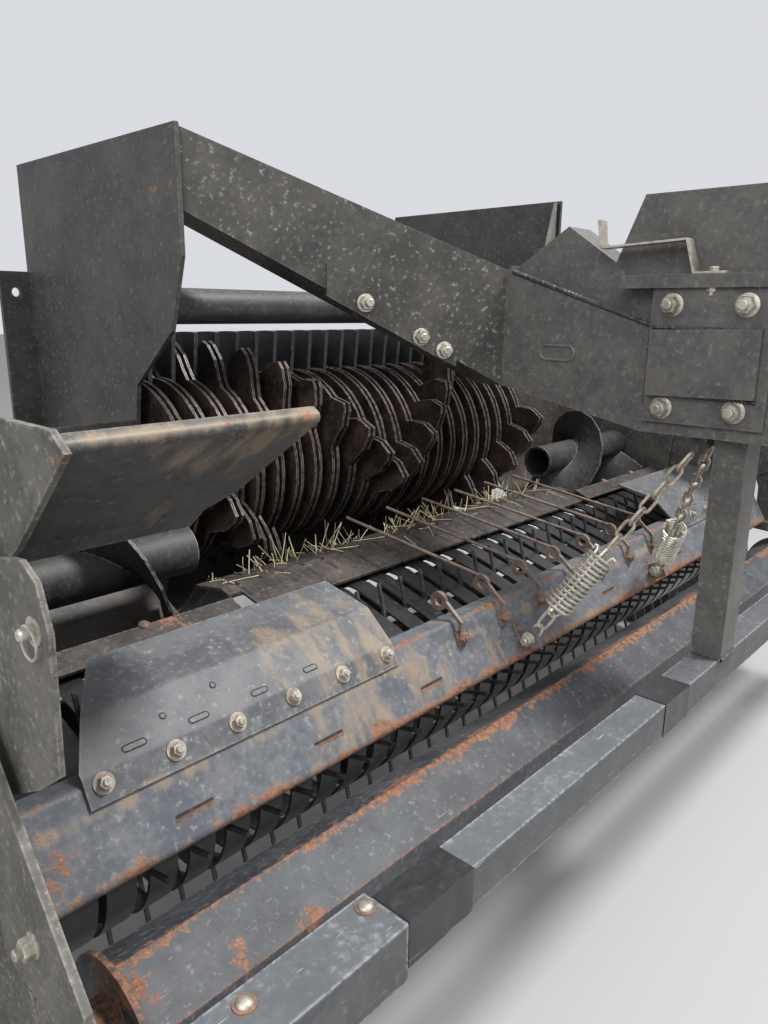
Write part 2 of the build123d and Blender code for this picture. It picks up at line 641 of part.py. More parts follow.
for name, side in SIDES:
    with BuildPart() as deflector:
        with BuildSketch(outward(side, deflector_x, DEFLECTOR_LENGTH)):
            with BuildLine():
                FilletPolyline([lap_start, lap_end, flap_fold, flap_top], radius=8)
                offset(amount=DEFLECTOR_T, side=Side.LEFT)
            make_face()
        extrude(amount=DEFLECTOR_LENGTH)
        outer_x = deflector_x + DEFLECTOR_LENGTH + 1
        cut_y = flap_top[0] + 2
        with BuildSketch(Plane.XY.offset(lap_start[1])):
            with BuildLine():
                Polyline([(side * outer_x, lap_end[0]), (side * (outer_x - DEFLECTOR_CUT), cut_y),
                          (side * outer_x, cut_y)], close=True)
            make_face()
        extrude(amount=200, mode=Mode.SUBTRACT)
    save(deflector, f"deflector_{name}")

# Hexagonal roller with its end discs
with BuildPart() as roller:
    with BuildSketch(Plane.YZ.offset(-ROLLER_HALF_LENGTH)):
        with Locations(Location((ROLLER_Y, ROLLER_Z, 0), (0, 0, 30))):
            RegularPolygon(ROLLER_R, 6)
    extrude(amount=2 * ROLLER_HALF_LENGTH)
    disc_starts = (-ROLLER_HALF_LENGTH - ROLLER_DISC_T, ROLLER_HALF_LENGTH)
    with BuildSketch(*[Plane.YZ.offset(start) for start in disc_starts]):
        with Locations(roller_axis):
            Circle(ROLLER_DISC_R)
    extrude(amount=ROLLER_DISC_T)
    cap_half = ROLLER_HALF_LENGTH + ROLLER_DISC_T + 22
    with BuildSketch(Plane.YZ.offset(-cap_half)):
        with Locations(roller_axis):
            Circle(ROLLER_CAP_R)
    extrude(amount=2 * cap_half)
    shaft_half = GUARD_ARM_X + GUARD_ARM_T + 6
    with BuildSketch(Plane.YZ.offset(-shaft_half)):
        with Locations(roller_axis):
            Circle(ROLLER_SHAFT_R)
    extrude(amount=2 * shaft_half)
save(roller, "front_roller")

# Front guard bar, its end sleeves and the post
with BuildPart() as guard_bar:
    bar_centre = (BAR_BACK_Y - BAR_DEPTH / 2, BAR_TOP_Z - BAR_HEIGHT / 2)
    with BuildSketch(Plane.YZ.offset(-BAR_HALF_LENGTH)):
        with Locations(bar_centre):
            Rectangle(BAR_DEPTH, BAR_HEIGHT)
            Rectangle(BAR_DEPTH - 2 * BAR_WALL, BAR_HEIGHT - 2 * BAR_WALL, mode=Mode.SUBTRACT)
    extrude(amount=2 * BAR_HALF_LENGTH)
save(guard_bar, "guard_bar")
for name, side in SIDES:
    with BuildPart() as sleeve:
        sleeve_length = BAR_HALF_LENGTH + 10 - SLEEVE_INNER_X
        with BuildSketch(outward(side, SLEEVE_INNER_X, sleeve_length)):
            with Locations(bar_centre):
                grow = 2 * (SLEEVE_WALL + RUNNING_GAP)
                Rectangle(BAR_DEPTH + grow, BAR_HEIGHT + grow)
                Rectangle(BAR_DEPTH + 2 * RUNNING_GAP, BAR_HEIGHT + 2 * RUNNING_GAP, mode=Mode.SUBTRACT)
        extrude(amount=sleeve_length)
    save(sleeve, f"bar_sleeve_{name}")
with BuildPart() as post:
    with BuildSketch(Plane.XY.offset(BAR_TOP_Z)):
        with Locations((0, bar_centre[0])):
            Rectangle(POST_WIDTH, POST_DEPTH)
            Rectangle(POST_WIDTH - 2 * POST_WALL, POST_DEPTH - 2 * POST_WALL, mode=Mode.SUBTRACT)
    extrude(amount=NECK_BOTTOM_Z - BAR_TOP_Z)
save(post, "post")

# Neck with its four-bolt joint, and the two arms that carry it
NECK_FRONT_Y = bar_centre[0] - NECK_NOSE
neck_outline = [(NECK_FRONT_Y, NECK_BOTTOM_Z), (NECK_FRONT_Y + 233, NECK_BOTTOM_Z), (NECK_FOLD_Y, 120),
                (NECK_FOLD_Y, 323), (-929, 391), (NECK_STEP_Y + 30, 330), (NECK_STEP_Y - 11, NECK_TOP_Z),
                (NECK_FRONT_Y, NECK_TOP_Z)]
neck_hollow = [(NECK_FRONT_Y - 5, NECK_BOTTOM_Z + NECK_WALL),
               (NECK_FRONT_Y + 231, NECK_BOTTOM_Z + NECK_WALL), (NECK_FOLD_Y - NECK_WALL, 128),
               (NECK_FOLD_Y - NECK_WALL, 318), (-927, 376), (NECK_STEP_Y + 22, 316),
               (NECK_STEP_Y - 19, NECK_TOP_Z - NECK_WALL), (NECK_FRONT_Y - 5, NECK_TOP_Z - NECK_WALL)]
joint_plate = [(44, 84), (228, 84), (228, 292), (44, 292)]
joint_box = [(58, 130), (222, 126), (222, 226), (58, 230)]
beam_back = (NECK_FOLD_Y - 10, ARM_FOLD_TOP_Z - 3)
beam_front = (NECK_FRONT_Y + 228, 232)
web_region = [beam_back, beam_front, (beam_front[0], NECK_LEDGE_Z + 12),
              (NECK_FRONT_Y - 5, NECK_LEDGE_Z + 12), (NECK_FRONT_Y - 5, NECK_TOP_Z + 5),
              (beam_back[0], NECK_TOP_Z + 5)]
beam_top = [(beam_back[0] + 4, beam_back[1]), beam_front, (beam_front[0], NECK_LEDGE_Z + 2),
            (beam_front[0] - NECK_WALL, NECK_LEDGE_Z + 2),
            (beam_front[0] - NECK_WALL, beam_front[1] - NECK_WALL),
            (beam_front[0], beam_front[1] - NECK_WALL), (beam_back[0] + 4, beam_back[1] - NECK_WALL)]
with BuildPart() as neck:
    with BuildSketch(Plane.YZ):
        with BuildLine():
            Polyline(neck_outline, close=True)
        make_face()
    extrude(amount=NECK_HALF_WIDTH, both=True)
    for outline, depth in ((joint_plate, JOINT_PLATE_T), (joint_box, JOINT_PLATE_T + JOINT_BOX_T)):
        with BuildSketch(Plane.YZ):
            with BuildLine():
                Polyline([(NECK_FRONT_Y + back, height) for back, height in outline], close=True)
            make_face()
        extrude(amount=NECK_HALF_WIDTH + depth, both=True)
    with BuildSketch(Plane.YZ):
        with BuildLine():
            Polyline(neck_hollow, close=True)
        make_face()
    extrude(amount=NECK_HALF_WIDTH - NECK_WALL, both=True, mode=Mode.SUBTRACT)
    for side in (-1, 1):
        with BuildSketch(Plane.YZ.offset(side * NECK_WEB_HALF)):
            with BuildLine():
                Polyline(web_region, close=True)
            make_face()
        extrude(amount=side * (NECK_HALF_WIDTH + 1 - NECK_WEB_HALF), mode=Mode.SUBTRACT)
        with BuildSketch(Plane.YZ.offset(side * (NECK_WEB_HALF - NECK_WEB_T))):
            with BuildLine():
                Polyline(neck_outline, close=True)
            make_face()
            with BuildLine():
                Polyline([(back, height - NECK_WALL) for back, height in web_region[:3]]
                         + [(back, height) for back, height in web_region[3:]], close=True)
            make_face(mode=Mode.INTERSECT)
        extrude(amount=side * NECK_WEB_T)
    with BuildSketch(Plane.YZ):
        with BuildLine():
            Polyline(beam_top, close=True)
        make_face()
    extrude(amount=NECK_HALF_WIDTH, both=True)
    ledge_y = (NECK_FRONT_Y + NECK_STEP_Y) / 2
    with Locations((0, ledge_y, NECK_LEDGE_Z + NECK_LEDGE_T / 2)):
        Box(2 * (NECK_HALF_WIDTH + NECK_LEDGE), NECK_STEP_Y - NECK_FRONT_Y, NECK_LEDGE_T)
save(neck, "neck")
ARM_END_Y = -550.0
ARM_END_LOW_Z = 400.0
ARM_END_TOP_Z = 518.0
arm_run = math.dist((NECK_HALF_WIDTH, NECK_FOLD_Y), (SIDE_PLATE_X, ARM_END_Y))
strip_rise = (ARM_END_LOW_Z - ARM_FOLD_LOW_Z) / arm_run
strip_line = [(95, -12), (125, -14), (330, -12), (330, ARM_STRIP_HEIGHT), (95, ARM_STRIP_HEIGHT)]
for name, side in SIDES:
    with BuildPart() as neck_arm:
        ends = []
        for end_x, end_y, low, high in ((NECK_HALF_WIDTH, NECK_FOLD_Y, ARM_FOLD_LOW_Z, ARM_FOLD_TOP_Z),
                                        (SIDE_PLATE_X, ARM_END_Y, ARM_END_LOW_Z, ARM_END_TOP_Z)):
            with BuildSketch(Plane.YZ.offset(side * end_x)) as end:
                with BuildLine():
                    Polyline([(end_y, low), (end_y + ARM_FLANGE, low), (end_y + ARM_FLANGE, low + ARM_T),
                              (end_y + ARM_T, low + ARM_T), (end_y + ARM_T, high), (end_y, high)], close=True)
                make_face()
            ends.append(end.sketch)
        loft(sections=ends, ruled=True)
        strip_plane = Plane(origin=(side * NECK_HALF_WIDTH, NECK_FOLD_Y, ARM_FOLD_LOW_Z),
                            x_dir=(side * (SIDE_PLATE_X - NECK_HALF_WIDTH), ARM_END_Y - NECK_FOLD_Y, 0),
                            z_dir=(ARM_END_Y - NECK_FOLD_Y, side * (NECK_HALF_WIDTH - SIDE_PLATE_X), 0))
        with BuildSketch(strip_plane) as strip:
            with BuildLine():
                Polyline([(run, run * strip_rise + rise) for run, rise in strip_line], close=True)
            make_face()
        extrude(strip.sketch, amount=ARM_STRIP_T / 2, both=True)
    save(neck_arm, f"neck_arm_{name}")

# Chains and springs that hold the crop guard up from hooks under the neck
HOOK_Y = NECK_FRONT_Y + 150
HOOK_X = 34.0
HOOK_DROP = 24.0
LINK_COUNTS = (7, 9)
LINK_PITCH = LINK_LENGTH - 2 * CHAIN_WIRE + LINK_LAP
SEAT = 0.4
HOOK_SEAT = 3.2
for (name, side), lug_x, link_count in zip(SIDES, LUG_XS, LINK_COUNTS):
    eye = Vector(lug_x, lug_eye[0], lug_eye[1])
    hook = Vector(side * HOOK_X, HOOK_Y, NECK_BOTTOM_Z - HOOK_DROP)
    along = (hook - eye).normalized()
    across = along.cross(Vector(1, 0, 0)).normalized()
    first_start = LUG_WIDTH / 2 + 6
    spring_start = first_start + LINK_LENGTH + SEAT
    chain_length = LINK_LENGTH + (link_count - 1) * LINK_PITCH
    spring_end = (hook - eye).length - HOOK_SEAT - chain_length - SEAT
    with BuildPart() as chain_hook:
        with Locations((side * HOOK_X, HOOK_Y, NECK_BOTTOM_Z - HOOK_DROP / 2)):
            Box(10, 12, HOOK_DROP)
    save(chain_hook, f"chain_hook_{name}")
    with BuildPart() as chain:
        starts = [first_start] + [spring_end + SEAT + n * LINK_PITCH for n in range(link_count)]
        for number, start in enumerate(starts):
            flat = across if number % 2 else along.cross(across)
            middle = eye + along * (start + LINK_LENGTH / 2)
            with BuildSketch(Plane(origin=middle, x_dir=along, z_dir=flat)) as link:
                Rectangle(LINK_LENGTH, LINK_WIDTH)
                chamfer(link.vertices(), length=6)
                Rectangle(LINK_LENGTH - 2 * CHAIN_WIRE, LINK_WIDTH - 2 * CHAIN_WIRE, mode=Mode.SUBTRACT)
            extrude(amount=CHAIN_WIRE / 2, both=True)
    save(chain, f"chain_{name}")
    with BuildPart() as chain_spring:
        spring_length = spring_end - spring_start
        turns = round(spring_length / (2 * SPRING_WIRE))
        pitch = spring_length / turns
        ridges = [(0, 0)]
        for turn in range(turns):
            ridges += [(SPRING_R - 2, turn * pitch), (SPRING_R, (turn + 0.5) * pitch)]
        ridges += [(SPRING_R - 2, spring_length), (0, spring_length)]
        origin = eye + along * spring_start
        with BuildSketch(Plane(origin=origin, x_dir=across, z_dir=across.cross(along))):
            with BuildLine():
                Polyline(ridges, close=True)
            make_face()
        revolve(axis=Axis(origin, along))
    save(chain_spring, f"chain_spring_{name}")
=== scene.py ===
# Round baler pickup and feed unit: finishes, small parts, floor, light and camera.
# Lengths are metres in the row frame: X across, -Y the way it travels, +Z up.
import math
import random

import bmesh
import bpy
from mathutils import Matrix, Vector
from mathutils.bvhtree import BVHTree


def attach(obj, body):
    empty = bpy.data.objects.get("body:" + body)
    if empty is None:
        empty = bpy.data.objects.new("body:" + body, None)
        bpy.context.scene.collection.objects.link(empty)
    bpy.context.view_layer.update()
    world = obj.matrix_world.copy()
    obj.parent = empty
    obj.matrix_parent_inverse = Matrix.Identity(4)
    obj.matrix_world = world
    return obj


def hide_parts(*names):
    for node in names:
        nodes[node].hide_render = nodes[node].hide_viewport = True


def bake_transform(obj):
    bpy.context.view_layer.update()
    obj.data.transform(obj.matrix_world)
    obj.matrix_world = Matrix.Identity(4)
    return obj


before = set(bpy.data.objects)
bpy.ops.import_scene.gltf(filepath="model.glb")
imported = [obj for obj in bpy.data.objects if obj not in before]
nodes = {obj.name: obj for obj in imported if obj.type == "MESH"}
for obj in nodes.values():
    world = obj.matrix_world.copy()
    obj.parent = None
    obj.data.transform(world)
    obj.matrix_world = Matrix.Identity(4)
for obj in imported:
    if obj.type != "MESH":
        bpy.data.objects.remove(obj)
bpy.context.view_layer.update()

SIDES = (("right", -1), ("left", 1))

# Camera
EYE = Vector((-1.253, -1.640, 0.250))
HEADING_DEG = 42.9
DOWN_DEG = 14.65
ROLL_DEG = -0.55
FOCAL_PX = 768.5
IMAGE_HEIGHT_PX = 1024
SENSOR_MM = 36.0


def add_camera():
    """Camera of the photograph, near the front right corner."""
    heading = math.radians(HEADING_DEG)
    down = math.radians(DOWN_DEG)
    roll = math.radians(ROLL_DEG)
    level_forward = Vector((math.cos(heading), math.sin(heading), 0.0))
    forward = level_forward * math.cos(down) - Vector((0.0, 0.0, math.sin(down)))
    level_right = Vector((math.sin(heading), -math.cos(heading), 0.0))
    level_up = level_right.cross(forward)
    right = level_right * math.cos(roll) - level_up * math.sin(roll)
    up = level_right * math.sin(roll) + level_up * math.cos(roll)
    data = bpy.data.cameras.new("camera")
    data.sensor_width = SENSOR_MM
    data.lens = FOCAL_PX / IMAGE_HEIGHT_PX * data.sensor_width
    data.clip_start = 0.02
    camera = bpy.data.objects.new("camera", data)
    bpy.context.scene.collection.objects.link(camera)
    turn = Matrix((right, up, -forward)).transposed()
    camera.matrix_world = Matrix.Translation(EYE) @ turn.to_4x4()
    bpy.context.scene.camera = camera


add_camera()

# Finishes
MIX_FACTOR, MIX_A, MIX_B, MIX_RESULT = 0, 6, 7, 2  # sockets of a Mix node that are for colour


class Finish:
    """Procedural finish laid out in the object's own coordinates."""

    def __init__(self, name):
        self.material = bpy.data.materials.new(name)
        self.material.use_nodes = True
        self.tree = self.material.node_tree
        self.shader = self.tree.nodes["Principled BSDF"]
        self.place = self.add("ShaderNodeTexCoord").outputs["Object"]
        self.normal = self.add("ShaderNodeNewGeometry").outputs["Normal"]

    def add(self, kind, **settings):
        node = self.tree.nodes.new(kind)
        for key, value in settings.items():
            setattr(node, key, value)
        return node

    def feed(self, socket, value):
        """Links a socket to another one, or sets its value."""
        if isinstance(value, bpy.types.NodeSocket):
            self.tree.links.new(value, socket)
        elif isinstance(value, tuple) and len(value) == 3 and socket.type == "RGBA":
            socket.default_value = value + (1.0,)
        else:
            socket.default_value = value

    def noise(self, scale, detail=3.0, stretch=(1, 1, 1), shift=0.0, roughness=0.55):
        """Noise that stays with the object, its own pattern for each shift."""
        spread = self.add("ShaderNodeMapping")
        self.feed(spread.inputs["Vector"], self.place)
        self.feed(spread.inputs["Scale"], stretch)
        self.feed(spread.inputs["Location"], (shift, shift, shift))
        node = self.add("ShaderNodeTexNoise")
        self.feed(node.inputs["Vector"], spread.outputs["Vector"])
        self.feed(node.inputs["Scale"], scale)
        self.feed(node.inputs["Detail"], detail)
        self.feed(node.inputs["Roughness"], roughness)
        return node.outputs["Fac"]

    def ramp(self, value, low, high, start=0.0, end=1.0):
        """Smooth change from start to end as a value goes from low to high."""
        node = self.add("ShaderNodeMapRange", interpolation_type="SMOOTHSTEP")
        self.feed(node.inputs["Value"], value)
        self.feed(node.inputs["From Min"], low)
        self.feed(node.inputs["From Max"], high)
        self.feed(node.inputs["To Min"], start)
        self.feed(node.inputs["To Max"], end)
        return node.outputs["Result"]

    def math(self, operation, first, second=0.0, clamp=False):
        node = self.add("ShaderNodeMath", operation=operation, use_clamp=clamp)
        self.feed(node.inputs[0], first)
        self.feed(node.inputs[1], second)
        return node.outputs["Value"]

    def plus(self, first, second, clamp=False):
        return self.math("ADD", first, second, clamp)

    def minus(self, first, second):
        return self.math("SUBTRACT", first, second)

    def times(self, first, second, clamp=False):
        return self.math("MULTIPLY", first, second, clamp)

    def larger(self, first, second, clamp=False):
        return self.math("MAXIMUM", first, second, clamp)

    def mix(self, factor, first, second):
        node = self.add("ShaderNodeMix", data_type="RGBA")
        self.feed(node.inputs[MIX_FACTOR], factor)
        self.feed(node.inputs[MIX_A], first)
        self.feed(node.inputs[MIX_B], second)
        return node.outputs[MIX_RESULT]

    def upward(self, low=0.3, high=0.95):
        """Share of a face that looks up, where dust settles and, on the bar, where painted light makes the
        top lighter.
        """
        split = self.add("ShaderNodeSeparateXYZ")
        self.feed(split.inputs["Vector"], self.normal)
        return self.ramp(split.outputs["Z"], low, high)

    def edges(self, radius=0.004):
        """Strength near outer edges, where paint wears off."""
        bevel = self.add("ShaderNodeBevel", samples=2)
        self.feed(bevel.inputs["Radius"], radius)
        dot = self.add("ShaderNodeVectorMath", operation="DOT_PRODUCT")
        self.feed(dot.inputs[0], bevel.outputs["Normal"])
        self.feed(dot.inputs[1], self.normal)
        return self.ramp(dot.outputs["Value"], 0.995, 0.86)

    def spot(self, centre, radius):
        """Strength round a point."""
        node = self.add("ShaderNodeVectorMath", operation="DISTANCE")
        self.feed(node.inputs[0], self.place)
        self.feed(node.inputs[1], centre)
        return self.ramp(node.outputs["Value"], radius, 0.0)

    def line(self, y, z, radius):
        """Strength round a line that runs across the machine."""
        flat = self.add("ShaderNodeVectorMath", operation="MULTIPLY")
        self.feed(flat.inputs[0], self.place)
        self.feed(flat.inputs[1], (0.0, 1.0, 1.0))
        node = self.add("ShaderNodeVectorMath", operation="DISTANCE")
        self.feed(node.inputs[0], flat.outputs["Vector"])
        self.feed(node.inputs[1], (0.0, y, z))
        return self.ramp(node.outputs["Value"], radius, 0.0)

    def strongest(self, masks):
        """Largest of some strengths, or 0 of none."""
        result = 0.0
        for mask in masks:
            result = self.larger(result, mask)
        return result

    def bump(self, height, strength, distance):
        node = self.add("ShaderNodeBump")
        self.feed(node.inputs["Height"], height)
        self.feed(node.inputs["Strength"], strength)
        self.feed(node.inputs["Distance"], distance)
        self.tree.links.new(node.outputs["Normal"], self.shader.inputs["Normal"])


RUST_DARK = (0.075, 0.031, 0.018)
RUST_MID = (0.225, 0.100, 0.052)
RUST_PALE = (0.42, 0.225, 0.125)
DUST = (0.26, 0.235, 0.195)
EARTH = (0.285, 0.205, 0.125)
FLECK = (0.27, 0.265, 0.245)
BARE_STEEL = (0.30, 0.285, 0.27)


def worn_steel(name, dark, light, rust=0.2, dust_and_top_light=0.3, wear=0.3, gloss=0.45, specks=0.3, shift=0.0,
               rust_lines=(), rust_spots=(), earth_lines=(), earth_spots=(), metallic=0.0, bare=BARE_STEEL,
               scratches=0.4, edge_rust=0.05, edge_size=0.004, dust_and_top_light_colour=DUST, relief=0.30):
    """Painted or bare steel with mottling, dust, rust, scratches and rubbed edges; the dust layer also paints
    lighter top faces where asked, as on the bar.
    """
    look = Finish(name)
    broad = look.noise(2.6, 2.0, shift=shift)
    middle = look.noise(13.0, 6.0, shift=shift + 1.7, roughness=0.70)
    fine = look.noise(110.0, 3.0, shift=shift + 3.1, roughness=0.65)
    grain = look.noise(620.0, 1.0, shift=shift + 4.3)
    edge = look.edges(edge_size) if wear else 0.0

    # Paint in two tones
    tone = look.plus(look.times(middle, 0.7), look.times(fine, 0.3))
    colour = look.mix(look.ramp(tone, 0.40, 0.60), dark, light)

    # Dust on faces that look up, and in patches; with the bar's bluish colour this also paints light on its
    # top faces
    lay = look.plus(look.ramp(broad, 0.35, 0.65, 0.0, 0.5), look.times(look.upward(), 0.5))
    lay = look.times(lay, dust_and_top_light)
    reach = look.minus(0.64, look.times(lay, 0.15))
    dust_and_top_light_share = look.times(look.ramp(look.minus(tone, reach), -0.02, 0.12), 0.40)
    dust_and_top_light_share = look.larger(dust_and_top_light_share, look.times(lay, 0.20, clamp=True))
    colour = look.mix(dust_and_top_light_share, colour, dust_and_top_light_colour)

    # Smears of dried earth where they are asked for
    patches = [look.line(y, z, radius) for y, z, radius in earth_lines]
    patches += [look.spot(centre, radius) for centre, radius in earth_spots]
    if patches:
        smears = look.noise(30.0, 4.0, stretch=(1.0, 0.35, 0.35), shift=shift + 8.8, roughness=0.6)
        smears = look.plus(smears, look.times(look.strongest(patches), 0.22))
        smears = look.times(look.ramp(smears, 0.60, 0.82), 0.58)
        colour = look.mix(smears, colour, EARTH)

    # Pale flecks and larger drops
    cells = look.add("ShaderNodeTexVoronoi")
    look.feed(cells.inputs["Vector"], look.place)
    look.feed(cells.inputs["Scale"], 55.0)
    pick = look.add("ShaderNodeSeparateColor")
    look.feed(pick.inputs["Color"], cells.outputs["Color"])
    drops = look.times(look.ramp(cells.outputs["Distance"], 0.26, 0.12),
                       look.ramp(pick.outputs["Red"], 0.74, 0.86))
    flecks = look.larger(look.ramp(fine, 0.58, 0.72), look.times(drops, 0.5))
    colour = look.mix(look.times(flecks, specks * 0.75), colour, FLECK)

    # Scratches along the machine's width, and rubbed edges
    strokes = look.noise(24.0, 2.0, stretch=(1.0, 14.0, 14.0), shift=shift + 6.2)
    rubbed = look.times(look.ramp(strokes, 0.72, 0.75), scratches)
    rim = look.times(edge, look.ramp(fine, 0.36, 0.56))
    rubbed = look.larger(rubbed, look.times(rim, wear), clamp=True)
    colour = look.mix(rubbed, colour, bare)

    # Rust where the noise, the edges and the asked places add up
    zones = [look.line(y, z, radius) for y, z, radius in rust_lines]
    zones += [look.spot(centre, radius) for centre, radius in rust_spots]
    weight = look.plus(look.times(middle, 0.60), look.times(fine, 0.40))
    weight = look.plus(weight, look.times(look.minus(broad, 0.5), 0.25))
    weight = look.plus(weight, look.times(edge, edge_rust))
    weight = look.plus(weight, look.times(look.strongest(zones), 0.23))
    limit = 0.70 - 0.24 * rust
    rusty = look.ramp(weight, limit, limit + 0.06)
    rust_colour = look.mix(look.ramp(fine, 0.34, 0.60), RUST_DARK, RUST_MID)
    rust_colour = look.mix(look.ramp(grain, 0.56, 0.78), rust_colour, RUST_PALE)
    colour = look.mix(look.times(rusty, 0.88), colour, rust_colour)
    look.feed(look.shader.inputs["Base Color"], colour)

    # Roughness, metal and relief
    sheen = look.ramp(fine, 0.3, 0.7, gloss, gloss + 0.08)
    sheen = look.plus(sheen, look.times(dust_and_top_light_share, 0.35), clamp=True)
    sheen = look.larger(sheen, look.times(rusty, 0.88))
    look.feed(look.shader.inputs["Roughness"], sheen)
    shine = look.times(look.minus(1.0, rusty), metallic)
    look.feed(look.shader.inputs["Metallic"], shine)
    height = look.plus(look.times(grain, 0.35), look.times(rusty, fine))
    height = look.plus(height, look.times(fine, 0.3))
    look.bump(height, relief, 0.0012)
    return look.material


